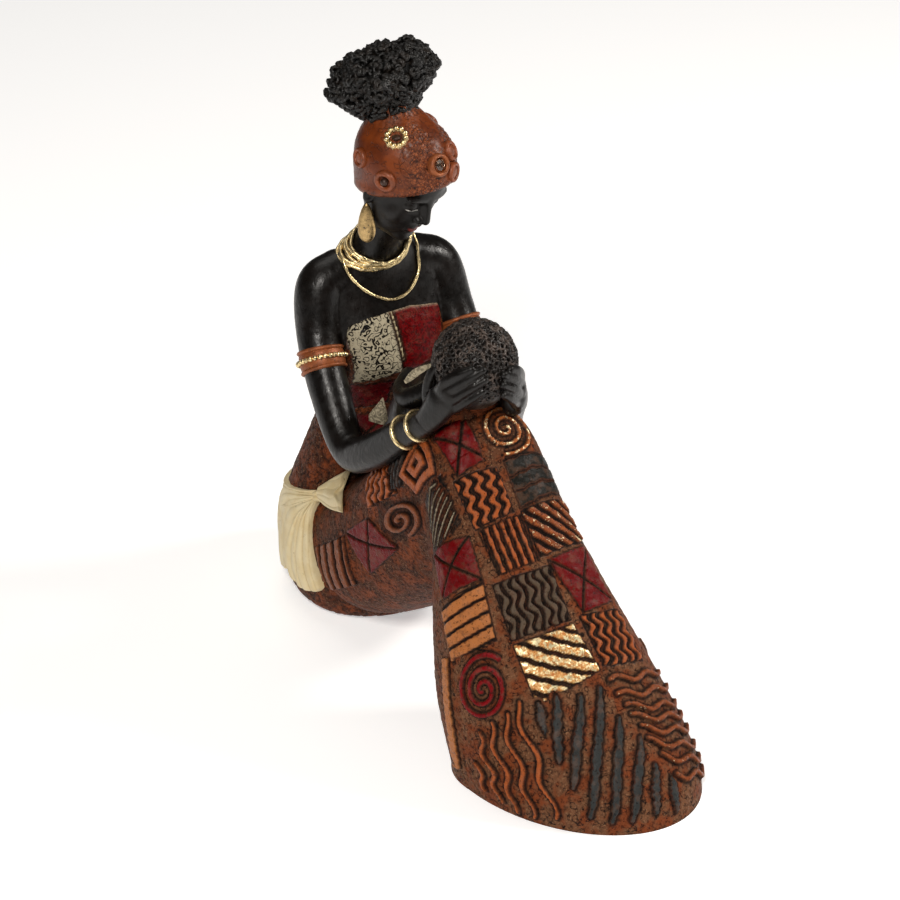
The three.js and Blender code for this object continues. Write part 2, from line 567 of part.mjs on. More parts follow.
function meshOf(made, name, material) {
  const { vertProperties, triVerts } = made.getMesh();
  const geometry = new THREE.BufferGeometry();
  geometry.setAttribute("position", new THREE.BufferAttribute(new Float32Array(vertProperties), 3));
  geometry.setIndex(new THREE.BufferAttribute(new Uint32Array(triVerts), 1));
  geometry.computeVertexNormals();
  const mesh = new THREE.Mesh(geometry, material);
  mesh.name = name;
  return mesh;
}

const paintedResin = new THREE.MeshStandardMaterial({ color: 0x7a3f1e, roughness: 0.5, metalness: 0 });
const clearGlass = new THREE.MeshStandardMaterial({ color: 0xe8eef2, roughness: 0.08, metalness: 0 });
const statuette = new THREE.Group();
statuette.add(meshOf(casting, "statuette", paintedResin));
statuette.add(meshOf(stone, "wrap_stone", clearGlass));
export default statuette;
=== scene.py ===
import json
import math
import bpy
import numpy as np
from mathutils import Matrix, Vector

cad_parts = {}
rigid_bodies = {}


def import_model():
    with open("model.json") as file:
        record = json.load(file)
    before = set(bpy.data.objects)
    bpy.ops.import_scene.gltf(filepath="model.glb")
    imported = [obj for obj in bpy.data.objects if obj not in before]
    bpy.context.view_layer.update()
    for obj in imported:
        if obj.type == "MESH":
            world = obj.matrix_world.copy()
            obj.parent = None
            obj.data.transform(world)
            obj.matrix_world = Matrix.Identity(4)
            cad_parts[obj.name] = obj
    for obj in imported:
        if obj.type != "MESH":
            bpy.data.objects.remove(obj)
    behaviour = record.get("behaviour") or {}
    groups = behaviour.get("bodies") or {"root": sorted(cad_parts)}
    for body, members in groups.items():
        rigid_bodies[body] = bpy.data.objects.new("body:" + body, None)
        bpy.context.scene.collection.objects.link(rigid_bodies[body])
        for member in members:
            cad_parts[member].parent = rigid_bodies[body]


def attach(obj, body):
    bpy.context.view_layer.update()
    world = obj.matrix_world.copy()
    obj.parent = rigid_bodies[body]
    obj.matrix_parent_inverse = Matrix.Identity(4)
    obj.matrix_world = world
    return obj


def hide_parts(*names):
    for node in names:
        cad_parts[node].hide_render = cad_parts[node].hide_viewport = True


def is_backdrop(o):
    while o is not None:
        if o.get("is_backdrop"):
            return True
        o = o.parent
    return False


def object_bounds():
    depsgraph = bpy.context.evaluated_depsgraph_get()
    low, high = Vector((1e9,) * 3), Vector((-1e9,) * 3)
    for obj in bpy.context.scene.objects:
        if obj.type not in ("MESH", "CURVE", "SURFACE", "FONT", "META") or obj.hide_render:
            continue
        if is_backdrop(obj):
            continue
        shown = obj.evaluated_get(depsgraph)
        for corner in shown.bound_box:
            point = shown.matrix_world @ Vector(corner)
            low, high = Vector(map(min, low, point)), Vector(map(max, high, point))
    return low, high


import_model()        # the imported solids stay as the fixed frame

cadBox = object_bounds()
print("frame loaded")

# Camera, light and floor
view = {
    "target": (0.0294, 0.0871, 0.0447), "azimuth": -25.5, "elevation": 30, "distance": 1.1, "lens": 110,
    "sensor": 36, "floor": 1.6, "floorGrey": 0.85, "floorGlow": 0.46,
    "worldLight": 0.05, "warmth": (1, 0.955, 0.9), "lit": (0, 0, 0.1),  # the place that the lamps point at
    "lamps": [  # place, size, watts
        ((-0.55, -0.75, 0.95), 0.26, 10.4),
        ((0.85, -0.35, 0.75), 0.26, 7.6),
        ((0, 0.5, 1.35), 0.9, 4.5),
    ],
}


def addCamera():
    turn, rise = math.radians(view["azimuth"]), math.radians(view["elevation"])
    away = Vector((math.sin(turn) * math.cos(rise), -math.cos(turn) * math.cos(rise), math.sin(rise)))
    camera = bpy.data.objects.new("camera", bpy.data.cameras.new("camera"))
    camera.data.lens = view["lens"]
    camera.data.sensor_width = view["sensor"]
    camera.location = Vector(view["target"]) + away * view["distance"]
    camera.rotation_euler = (-away).to_track_quat("-Z", "Y").to_euler()
    bpy.context.collection.objects.link(camera)
    bpy.context.scene.camera = camera


def addLight():
    for n, (where, size, watts) in enumerate(view["lamps"]):
        lamp = bpy.data.lights.new(f"lamp_{n}", "AREA")
        lamp.energy, lamp.size, lamp.color = watts, size, view["warmth"]
        holder = bpy.data.objects.new(f"lamp_{n}", lamp)
        holder.location = where
        holder.rotation_euler = (Vector(view["lit"]) - Vector(where)).to_track_quat("-Z", "Y").to_euler()
        bpy.context.collection.objects.link(holder)
    world = bpy.data.worlds.new("studio")
    world.use_nodes = True
    background = world.node_tree.nodes["Background"].inputs
    background["Color"].default_value, background["Strength"].default_value = (1, 1, 1, 1), view["worldLight"]
    bpy.context.scene.world = world
    bpy.context.scene.view_settings.view_transform = "Standard"


addCamera()
addLight()


# Shader maths
class Wire:  # an output socket of a finish, with arithmetic
    def __init__(self, finish, socket):
        self.finish, self.socket = finish, socket

    def sum(self, operation, *others):
        values = {n: value for n, value in enumerate((self, *others))}
        return self.finish.add("ShaderNodeMath", {"operation": operation}, values)

    def fold(self, lines):  # distance from the middle of repeated bands, 0 to 1
        return ((self * lines).sum("FRACT") - 0.5).sum("ABSOLUTE") * 2

    def __add__(self, other):
        return self.sum("ADD", other)

    __radd__ = __add__

    def __sub__(self, other):
        return self.sum("SUBTRACT", other)

    def __rsub__(self, other):
        return self.finish.add("ShaderNodeMath", {"operation": "SUBTRACT"}, {0: other, 1: self})

    def __mul__(self, other):
        return self.sum("MULTIPLY", other)

    __rmul__ = __mul__


class Finish:  # a material and its node tree
    def __init__(self, name):
        self.material = bpy.data.materials.new(name)
        self.material.use_nodes = True
        self.tree = self.material.node_tree
        self.shader = self.tree.nodes["Principled BSDF"]
        self.place = self.add("ShaderNodeTexCoord", output="Object")

    def add(self, kind, settings=None, values=None, output=0):  # any node: its settings first, then its sockets
        node = self.tree.nodes.new(kind)
        for key, value in (settings or {}).items():
            setattr(node, key, value)
        for key, value in (values or {}).items():
            self.plug(node.inputs[key], value)
        return Wire(self, node.outputs[output])

    def plug(self, socket, value):
        if isinstance(value, Wire):
            self.tree.links.new(value.socket, socket)
        elif isinstance(value, tuple) and len(value) == 3 and len(socket.default_value) == 4:
            socket.default_value = (*value, 1)
        else:
            socket.default_value = value

    def grain(self, size, detail=3, rough=0.6, place=None):  # soft noise whose features are size mm wide
        return self.add("ShaderNodeTexNoise", {}, {"Vector": place or self.place, "Scale": 1000 / size,
                                                   "Detail": detail, "Roughness": rough})

    def stretched(self, *by):  # the object's own place, drawn out
        return self.add("ShaderNodeVectorMath", {"operation": "MULTIPLY"}, {0: self.place, 1: by})

    def cells(self, size):  # distance to the edges of random cells size mm wide
        return self.add("ShaderNodeTexVoronoi", {"feature": "DISTANCE_TO_EDGE"},
                        {"Vector": self.place, "Scale": 1000 / size})

    def axis(self, vector, n):  # the nth coordinate of a vector
        return self.add("ShaderNodeSeparateXYZ", {}, {0: vector}, n)

    def step(self, value, low, high, fromTo=(0, 1)):  # smooth rise while the value goes from low to high
        ends = {"From Min": low, "From Max": high, "To Min": fromTo[0], "To Max": fromTo[1]}
        return self.add("ShaderNodeMapRange", {"interpolation_type": "SMOOTHSTEP"}, {"Value": value, **ends})

    def blend(self, mask, below, above):  # colours: below where the mask is 0, above where it is 1
        return self.add("ShaderNodeMix", {"data_type": "RGBA"}, {0: mask, 6: below, 7: above}, output=2)

    def sheen(self, noise, low, high):  # roughness that follows a noise
        return self.step(noise, 0.3, 0.7, (low, high))

    def carried(self, name, output="Fac"):  # an attribute of the piece
        return self.add("ShaderNodeAttribute", {"attribute_name": name}, {}, output)

    def bump(self, height, depth, strength=1.0):  # depth in mm
        return self.add("ShaderNodeBump", {}, {"Height": height, "Distance": depth / 1000, "Strength": strength})

    def end(self, **sockets):  # links or values of the shader's own sockets, with _ for a space
        for name, value in sockets.items():
            self.plug(self.shader.inputs[name.replace("_", " ")], value)
        return self.material


def shade(*screen):  # a colour by its screen values, 0 to 255, as linear light
    return tuple(v / 255 / 12.92 if v < 11 else ((v / 255 + 0.055) / 1.055) ** 2.4 for v in screen)


paints = {
    "ground": shade(76, 38, 19), "rust": shade(118, 58, 28), "umber": shade(26, 16, 10),
    "speck": shade(156, 116, 84), "orange": shade(158, 80, 38), "russet": shade(132, 68, 36),
    "tan": shade(172, 106, 58), "bar": shade(122, 66, 38), "copper": shade(178, 102, 52),
    "gold": shade(214, 160, 96), "paleGold": shade(252, 236, 190), "ochre": shade(178, 150, 100),
    "crimson": shade(98, 2, 5), "maroon": shade(82, 8, 14), "cherry": shade(118, 8, 14),
    "slate": shade(82, 68, 54), "iron": shade(50, 52, 52), "charcoal": shade(24, 23, 19), "soot": shade(7, 5, 4),
    "cream": shade(220, 204, 164), "silver": shade(176, 164, 138), "pewter": shade(172, 162, 138),
    "skin": shade(12, 9, 7), "wrap": shade(92, 39, 13),
}


# Surfaces
middleX, middleForward = 7.7, 76.2  # mm: where the part's frame lies in the modelling frame


def onStand(x, forward, up):  # the modelling frame (x, forward, up) in mm to the part's frame
    places = x - middleX, middleForward - np.asarray(forward, float), np.asarray(up, float)
    return np.stack(np.broadcast_arrays(*places), -1)


def mix(a, b, share):
    return a + (b - a) * share


def soft(value):  # 3v^2 - 2v^3 between 0 and 1
    v = np.clip(value, 0, 1)
    return v * v * (3 - 2 * v)


def through(rows, t):  # Catmull-Rom curve through the rows of a table, t from 0 to 1
    rows, t = np.asarray(rows, float), np.asarray(t, float)
    ends = np.vstack([2 * rows[0] - rows[1], rows, 2 * rows[-1] - rows[-2]])
    place = np.clip(t, 0, 1) * (len(rows) - 1)
    i = np.minimum(place.astype(int), len(rows) - 2)
    w = (place - i)[..., None]
    a, b, c, d = ends[i], ends[i + 1], ends[i + 2], ends[i + 3]
    m, n = (c - a) / 2, (d - b) / 2
    return b + m * w + (-3 * b + 3 * c - 2 * m - n) * w**2 + (2 * b - 2 * c + m + n) * w**3


def unit(v):
    return v / np.maximum(np.linalg.norm(v, axis=-1, keepdims=True), 1e-9)


def grid(rows, columns):
    return np.meshgrid(rows, columns, indexing="ij")


def angles(n):  # n even angles round a circle
    return np.linspace(0, 2 * np.pi, n, endpoint=False)


def circle(side, up, angle):  # directions side cos(angle) + up sin(angle)
    return side * np.cos(angle)[..., None] + up * np.sin(angle)[..., None]


latticeSide = 32
lattice = np.random.default_rng(11).random((latticeSide,) * 3)


def clouds(points, size):  # smooth noise, 0 to 1: a random lattice, size mm wide, blended between its corners
    place = points / size
    base = np.floor(place).astype(int)
    x, y, z = np.moveaxis(soft(place - base), -1, 0)
    corner = lambda *step: lattice[tuple(np.moveaxis((base + step) % latticeSide, -1, 0))]
    level = lambda k: mix(mix(corner(0, 0, k), corner(1, 0, k), x), mix(corner(0, 1, k), corner(1, 1, k), x), y)
    return mix(level(0), level(1), z)


class Skin:
    # A body between two rails: outer and inner curves in the middle plane, with a rounded square section.
    # Its point at (t, angle) is belt + (rail - belt) |cos|^square, pushed aside by half |sin|^square.
    samples = 241

    def __init__(self, rows):
        rows = np.array([row + (0,) * (9 - len(row)) for row in rows], float)
        self.outer, self.inner = [onStand(middleX, rows[:, n], rows[:, n + 1]) for n in (0, 2)]
        self.form = rows[:, 4:]  # half, belt, square, shift, lean
        t = np.linspace(0, 1, self.samples)
        angle = np.linspace(0, np.pi, self.samples)
        self.girths, self.angles = [], []
        for side in (1, -1):
            ring = self.point(t[:, None], side * angle[None])
            length = np.cumsum(np.linalg.norm(np.diff(ring, axis=1), axis=-1), axis=1)
            length = np.hstack([np.zeros((self.samples, 1)), length])
            self.girths.append(length[:, -1])
            self.angles.append(np.array([np.interp(t, row / row[-1], angle) for row in length]))
        ridge = self.point(t, 0 * t)
        self.along = np.concatenate([[0], np.cumsum(np.linalg.norm(np.diff(ridge, axis=0), axis=-1))])
        self.turn = 1  # until the sense of the normals is known
        half, quarters = np.full(4, self.along[-1] / 2), np.array([-0.75, -0.25, 0.25, 0.75])
        middle = self.at(half, quarters)
        self.turn = np.sign((self.normal(half, quarters) * (middle - middle.mean(0))).sum())

    def point(self, t, angle):
        outer, inner, form = through(self.outer, t), through(self.inner, t), through(self.form, t)
        half, belt, square, shift, lean = np.moveaxis(form, -1, 0)
        power = lambda wave: np.sign(wave) * np.abs(wave) ** square
        along, across = power(np.cos(angle)), power(np.sin(angle))
        middle = outer + (inner - outer) * belt[..., None]
        spot = middle + (np.where((along > 0)[..., None], outer, inner) - middle) * np.abs(along)[..., None]
        spot[..., 0] = shift + lean * along + half * across - middleX
        return spot

    def find(self, along, share):  # t and angle at mm along the ridge and a share of the half girth round it
        last = self.samples - 1
        share = (share + 1) % 2 - 1
        row, column = np.interp(along, self.along, np.arange(last + 1.0)), np.abs(share) * last
        i, j = np.minimum(row.astype(int), last - 1), np.minimum(column.astype(int), last - 1)
        u, v = row - i, column - j
        table = np.where((share >= 0)[None], self.corner(0, i, j), self.corner(1, i, j))
        angle = mix(mix(table[0], table[1], v), mix(table[2], table[3], v), u)
        return row / last, np.where(share >= 0, 1, -1) * angle

    def corner(self, side, i, j):
        return np.stack([self.angles[side][i + down, j + aside] for down in (0, 1) for aside in (0, 1)])

    def at(self, along, share):
        along, share = np.broadcast_arrays(np.asarray(along, float), np.asarray(share, float))
        return self.point(*self.find(along, share))

    def normal(self, along, share):
        low, high = np.maximum(along - 0.4, 0), np.minimum(along + 0.4, self.along[-1])
        down = self.at(high, share) - self.at(low, share)
        aside = self.at(along, share + 0.004) - self.at(along, share - 0.004)
        return unit(np.cross(down, aside)) * self.turn

    def proud(self, along, share, lift):  # the place lifted off the skin by lift mm
        along, share, lift = np.broadcast_arrays(*[np.asarray(v, float) for v in (along, share, lift)])
        return self.at(along, share) + self.normal(along, share) * lift[..., None]

    def round(self, along, share):  # mm round from the ridge
        sides = [np.interp(along, self.along, girth) for girth in self.girths]
        return share * np.where(share >= 0, *sides)


# Meshes
def gridFaces(rows, columns, wrapRows, wrapColumns):
    r = np.arange(rows if wrapRows else rows - 1)[:, None]
    c = np.arange(columns if wrapColumns else columns - 1)[None]
    r2, c2 = (r + 1) % rows, (c + 1) % columns
    return np.stack([r * columns + c, r * columns + c2, r2 * columns + c2, r2 * columns + c], -1).reshape(-1, 4)


# A block is an array of places (..., rows, columns, 3), closed round its columns: its first and last rows are
# drawn together to a point each, or joined to each other where the block is a ring.
def blockMesh(places, ring=False, carried=None):
    places = np.asarray(places, float)
    rows, columns = places.shape[-3:-1]
    places = places.reshape(-1, rows, columns, 3)
    number = len(places)
    quads = gridFaces(rows, columns, ring, True)
    points = places.reshape(number, rows * columns, 3)
    values = {name: np.asarray(value, float).reshape(number, rows * columns, -1)
              for name, value in (carried or {}).items()}
    fans = np.zeros((0, 3), int)
    if not ring:
        c, last, pole = np.arange(columns), (rows - 1) * columns, np.full(columns, rows * columns)
        c2 = (c + 1) % columns
        fans = np.concatenate([np.stack([c2, c, pole], -1), np.stack([last + c, last + c2, pole + 1], -1)])
        close = lambda v: np.concatenate([v, v[:, :columns].mean(1, keepdims=True),
                                          v[:, last:].mean(1, keepdims=True)], 1)
        points, values = close(points), {name: close(v) for name, v in values.items()}
    size = points.shape[1]
    offset = (np.arange(number) * size)[:, None, None]
    quads, fans = (quads[None] + offset).reshape(-1, 4), (fans[None] + offset).reshape(-1, 3)
    points = points.reshape(-1, 3)
    volume = sum((points[f[:, 0]] * np.cross(points[f[:, 1]], points[f[:, 2]])).sum()
                 for f in (quads, quads[:, [0, 2, 3]], fans))
    if volume < 0:
        quads, fans = quads[:, ::-1], fans[:, ::-1]
    return points, quads, fans, {name: v.reshape(-1, v.shape[-1]) for name, v in values.items()}


def makePiece(name, blocks, material):
    points = np.concatenate([b[0] for b in blocks]) / 1000
    starts = np.cumsum([0] + [len(b[0]) for b in blocks])
    quads = np.concatenate([b[1] + s for b, s in zip(blocks, starts)])
    fans = np.concatenate([b[2] + s for b, s in zip(blocks, starts)])
    mesh = bpy.data.meshes.new(name)
    mesh.vertices.add(len(points))
    mesh.vertices.foreach_set("co", points.astype(np.float32).ravel())
    mesh.loops.add(quads.size + fans.size)
    mesh.loops.foreach_set("vertex_index", np.concatenate([quads.ravel(), fans.ravel()]).astype(np.int32))
    mesh.polygons.add(len(quads) + len(fans))
    begin = np.concatenate([np.arange(len(quads)) * 4, quads.size + np.arange(len(fans)) * 3])
    mesh.polygons.foreach_set("loop_start", begin.astype(np.int32))
    mesh.update(calc_edges=True)
    mesh.polygons.foreach_set("use_smooth", np.ones(len(begin), bool))
    for key in blocks[0][3]:
        values = np.concatenate([b[3][key] for b in blocks]).astype(np.float32)
        kind, field = {1: ("FLOAT", "value"), 3: ("FLOAT_VECTOR", "vector"),
                       4: ("FLOAT_COLOR", "color")}[values.shape[1]]
        mesh.attributes.new(key, kind, "POINT").data.foreach_set(field, values.ravel())
    mesh.validate()
    piece = bpy.data.objects.new(name, mesh)
    bpy.context.collection.objects.link(piece)
    mesh.materials.append(material)
    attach(piece, "root")
    print(name, len(quads) * 2 + len(fans), "triangles")
    return piece


def tube(joints, rows, sides):
    # Joints are rows of (x, forward, up, radius[, flat]). A ring of the radius, flat times as wide as it is high,
    # is carried along the curve through them, and shrinks to nothing over a half ball at each end.
    caps = 5
    joints = np.asarray(joints, float)
    flat = joints[:, 4:5] if joints.shape[1] > 4 else np.ones((len(joints), 1))
    line = through(np.hstack([onStand(*joints.T[:3]), joints[:, 3:4], flat]), np.linspace(0, 1, rows))
    middle, radius, flat = line[:, :3], line[:, 3], line[:, 4]
    tangent = unit(np.gradient(middle, axis=0))
    bow = np.linspace(0, np.pi / 2, caps + 2)[1:-1]
    head = middle[0] - tangent[0] * (radius[0] * np.cos(bow))[:, None]
    tail = middle[-1] + tangent[-1] * (radius[-1] * np.cos(bow[::-1]))[:, None]
    middle = np.vstack([head, middle, tail])
    radius = np.concatenate([radius[0] * np.sin(bow), radius, radius[-1] * np.sin(bow[::-1])])
    ends = [caps + 1] + [1] * (rows - 2) + [caps + 1]  # the end rows are repeated over the caps
    tangent, flat = np.repeat(tangent, ends, 0), np.repeat(flat, ends)[:, None, None]
    side = unit(np.cross(tangent, (0.0, 0.0, 1.0)))
    up = np.cross(side, tangent)
    return middle[:, None] + circle(side[:, None] * flat, up[:, None], angles(sides)) * radius[:, None, None]


def ringTube(course, radius, sides):
    # A round wire of the given radius along a closed course of places (n, 3)
    tangent = unit(np.roll(course, -1, 0) - np.roll(course, 1, 0))
    side = unit(np.cross(tangent, unit(course - course.mean(0))))
    out = np.cross(side, tangent)
    return course[:, None] + circle(side[:, None], out[:, None], angles(sides)) * radius[:, None, None]


def ball(middle, radii, rows=24, columns=32):
    # middle + radii (cos rise cos around, cos rise sin around, sin rise)
    rise, around = grid(np.linspace(-np.pi / 2, np.pi / 2, rows + 2)[1:-1], angles(columns))
    shape = np.stack([np.cos(rise) * np.cos(around), np.cos(rise) * np.sin(around), np.sin(rise)], -1)
    return middle + shape * np.asarray(radii, float)


def steps(*stops):  # values from stop to stop: (start, step), (next, step), ..., end
    parts = []
    for (start, step), after in zip(stops[:-1], stops[1:]):
        end = after[0] if isinstance(after, tuple) else after
        parts.append(np.linspace(start, end, max(2, round((end - start) / step) + 1))[:-1])
    return np.concatenate(parts + [[stops[-1]]])


# Patterns carved in the dress, in mm inside a patch w wide and h high, with u across it and v down it
# Each gives how far inside a ridge a place is, below 0 outside.
def bars(u, v, w, h, p):  # parallel bars, straight, waved or in stairs
    c, s = math.cos(math.radians(p.get("angle", 0))), math.sin(math.radians(p.get("angle", 0)))
    across, along = u * c + v * s, v * c - u * s
    phase = along / p.get("length", 6)
    if p.get("stair"):
        saw = np.abs((phase % 1) * 2 - 1) * 2 - 1
        across = across + p["wave"] * np.clip(saw * 1.6, -1, 1) + p["drift"] * along
    else:
        across = across + p.get("wave", 0) * np.sin(phase * 2 * np.pi)
    spot = (across - w / 2 * c - h / 2 * s) / p["pitch"] + p.get("offset", 0)
    number = np.round(spot)
    half = p["width"] / 2 * (1 + p.get("uneven", 0.1) * np.sin(along * 1.1 + number * 2.4))
    return half - np.abs(spot - number) * p["pitch"]


def cross(u, v, w, h, p):  # a field cut by its two diagonals
    reach = w * h / math.hypot(w, h)
    return np.minimum(np.abs(u / w - v / h), np.abs(u / w + v / h - 1)) * reach - p.get("groove", 0.5)


def spiral(u, v, w, h, p):  # radius = outer (whole laps + lap) / turns
    x, y = (u / w - 0.5) * 2, (v / h - 0.5) * 2
    radius, outer = np.hypot(x, y) * (w + h) / 4, p.get("reach", 0.92) * (w + h) / 4
    lap = (np.arctan2(y, x) / (2 * np.pi) - p["start"]) % 1
    whole = np.clip(np.round(radius * p["turns"] / outer - lap), 0, np.floor(p["turns"] - lap))
    return p["width"] / 2 - np.abs(radius - outer * (whole + lap) / p["turns"])


def frames(u, v, w, h, p):  # one frame inside another
    first = 0.45  # the outer frame's distance from the edge, in pitches
    reach = (1 - np.maximum(np.abs(2 * u / w - 1), np.abs(2 * v / h - 1))) * min(w, h) / 2
    number = np.clip(np.round(reach / p["pitch"] - first), 0, 1)
    return p["width"] / 2 - np.abs(reach - p["pitch"] * number - first * p["pitch"])


def plain(u, *rest):  # raised all over
    return 9 + 0 * u


def stroke(down, around, points, p):
    # It follows a curve through points (mm down, mm round), swings aside in waves, and thins at its ends.
    line = through(points, np.linspace(0, 1, 1 + p.get("parts", 1) * (len(points) - 1)))
    length = np.linspace(0, 1, len(line))
    way = unit(np.gradient(line, axis=0))
    swing = p.get("wave", 0) * np.sin((p.get("waves", 2) * length + p.get("phase", 0)) * 2 * np.pi)
    line = line + np.stack([-way[:, 1], way[:, 0]], -1) * swing[:, None]
    best = np.full(down.shape, -9.0)
    for n in range(len(line) - 1):
        a, run = line[n], line[n + 1] - line[n]
        t = np.clip(((down - a[0]) * run[0] + (around - a[1]) * run[1]) / (run @ run), 0, 1)
        place = (n + t) / (len(line) - 1)
        half = p["width"] / 2 * np.sqrt(1 - p.get("taper", 0.3) * (2 * place - 1) ** 2)
        half = half * (1 + p.get("uneven", 0.08) * np.sin(place * p.get("lumps", 17) + a[1]))
        best = np.maximum(best, half - np.hypot(down - a[0] - t * run[0], around - a[1] - t * run[1]))
    return best


def unfold(x, y, corners):
    # A patch is a four-cornered field (down, round): its own u and v come from the inverse of the bilinear map
    # P = A + u B + v C + u v D, found by Newton steps.
    a, b, c, d = corners
    s, t = np.full_like(x, 0.5), np.full_like(x, 0.5)
    across, along, twist = b - a, d - a, a - b + c - d
    for _ in range(6):
        ex = a[0] + s * across[0] + t * along[0] + s * t * twist[0] - x
        ey = a[1] + s * across[1] + t * along[1] + s * t * twist[1] - y
        sx, sy = across[0] + t * twist[0], across[1] + t * twist[1]
        tx, ty = along[0] + s * twist[0], along[1] + s * twist[1]
        det = sx * ty - sy * tx
        s = np.clip(s - (ex * ty - ey * tx) / det, -0.5, 1.5)
        t = np.clip(t - (ey * sx - ex * sy) / det, -0.5, 1.5)
    w = (np.hypot(*(b - a)) + np.hypot(*(c - d))) / 2
    h = (np.hypot(*(d - a)) + np.hypot(*(c - b))) / 2
    return s * w, t * h, w, h


def stamp(down, around, patches, carve):
    # Carves and paints the patches one after another: the height in mm, the colour, and masks for the finish
    names = ("height", "ridge", "pad", "leaf", "wash", "scroll")
    worked = {name: np.zeros(down.shape) for name in names}
    colour = np.ones((*down.shape, 4))
    reach = 2.5  # mm round a patch that its strokes and their shadow may need
    for p in patches:
        corners = np.array(p["corners"], float)
        low, high = corners.min(0) - reach, corners.max(0) + reach
        near = (down > low[0]) & (down < high[0]) & (around > low[1]) & (around < high[1])
        if not near.any():
            continue
        x, y = down[near], around[near]
        if p["pattern"] is stroke:
            u, v, depth = x, y, stroke(x, y, corners, p)
            inside = depth + p.get("shadow", 1.2)  # the painted shadow beside a stroke, mm wide: the band that takes its below paint and the groove shade
        else:
            u, v, w, h = unfold(x, y, corners)
            wobble = p.get("wobble", 0.25) * np.sin(u * 1.3 + v * 0.9) * np.sin(v * 1.1 + p.get("offset", 0))
            inside = np.minimum(np.minimum(u, w - u), np.minimum(v, h - v)) + wobble
            depth = np.minimum(p["pattern"](u, v, w, h, p), inside - p.get("margin", 0.5))
        field = soft(inside / 0.5 + 0.5)
        rise = soft(depth / 0.35 + 0.5)
        cover = p.get("cover", 0.0) * field
        below, above = np.array(paints[p.get("below", "umber")]), np.array(paints[p["paint"]])
        lumpy = p.get("rise", 1.0) + 0.3 * (clouds(np.stack([u, v, v], -1), 2) - 0.5)
        # wash is painted shade: dark in the groove just outside each ridge, fading over about 1.1 mm
        own = {
            "height": p.get("ground", 0.05) * field + lumpy * rise, "ridge": rise, "leaf": p.get("leaf", 0) * rise,
            "pad": np.maximum(rise, cover), "wash": soft((depth + 1.5) / 1.1) * (1 - rise),
            "scroll": p.get("scroll", 0) * rise,
        }
        for name in names:
            worked[name][near] = mix(worked[name][near], own[name], field)
        colour[near, :3] = mix(colour[near, :3], mix(below, above, rise[..., None]), soft(inside + 1)[..., None])
    worked["height"] = worked["height"] * carve
    return worked, colour


print("tools ready")

# Dress: skirt over the knees, with its patchwork
dress = {
    "skirt": [  # outer forward and up, inner forward and up, half width, belt, square, shift, lean
        (2, 52, 2, 5, 32.5, 0.5, 0.8), (28, 70, 30, 5, 33, 0.5, 0.8), (52, 92, 54, 20, 29, 0.45, 0.8),
        (73, 111, 75, 38, 24.5, 0.4, 0.8), (89, 121, 87, 50, 22, 0.35, 0.8, 0.5),
        (103, 109, 92, 50, 23, 0.35, 0.8, 1, 1), (117, 91, 95, 42, 26, 0.37, 0.8, 1.5, 2),
        (133, 70, 98, 31, 31, 0.4, 0.82, 3.5, 3), (152, 47, 102, 20, 36, 0.45, 0.86, 6.5, 5),
        (171, 26, 107, 9, 39, 0.54, 0.92, 10, 7.5), (186, 9, 110, 3, 40, 0.6, 1, 12, 10),
        (190, 0, 111, 0, 39.5, 0.62, 1, 12, 11)],
    "torso": [  # the same
        (25, 0, -29, 0, 30, 0.5, 0.92), (31, 5, -35, 6, 34, 0.5, 0.92), (36, 20, -38, 22, 35.5, 0.5, 0.92),
        (32, 40, -35, 42, 33.5, 0.5, 0.92), (23, 60, -27, 62, 27, 0.5, 0.92), (17, 80, -19, 80, 21.5, 0.5, 0.92),
        (19, 96, -16, 95, 21.5, 0.5, 0.92), (26, 109, -14.5, 108, 23.5, 0.5, 0.88),
        (24, 121, -13, 122, 24.5, 0.5, 0.88), (19, 132, -10, 135, 25, 0.5, 0.88),
        (16, 140, -6, 144, 23.5, 0.5, 0.92), (15, 147, -3, 151, 17, 0.5, 1), (17, 154, 0, 157, 10.5, 0.5, 1),
        (21, 162, 5, 165, 8, 0.5, 1), (28, 180, 13, 184, 8.5, 0.5, 1)],
    "split": 125,  # mm down the ridge where the lap meets the shins
    "grit": 0.22, "hem": 1,  # depth of the rough ground, and the plain rim at the hem, mm
    "swirl": 0.4, "top": 0.6,  # depth of the winding grooves on the hips, and of the bodice's turned edge, mm
    "gloss": (0.5, 0.7, 0.24), "relief": 0.5,  # least and most roughness, how much less on ridges; mm of bump
}


def patch(pattern, paint, corners, **rest):
    return {"pattern": pattern, "paint": paint, "corners": corners, **rest}


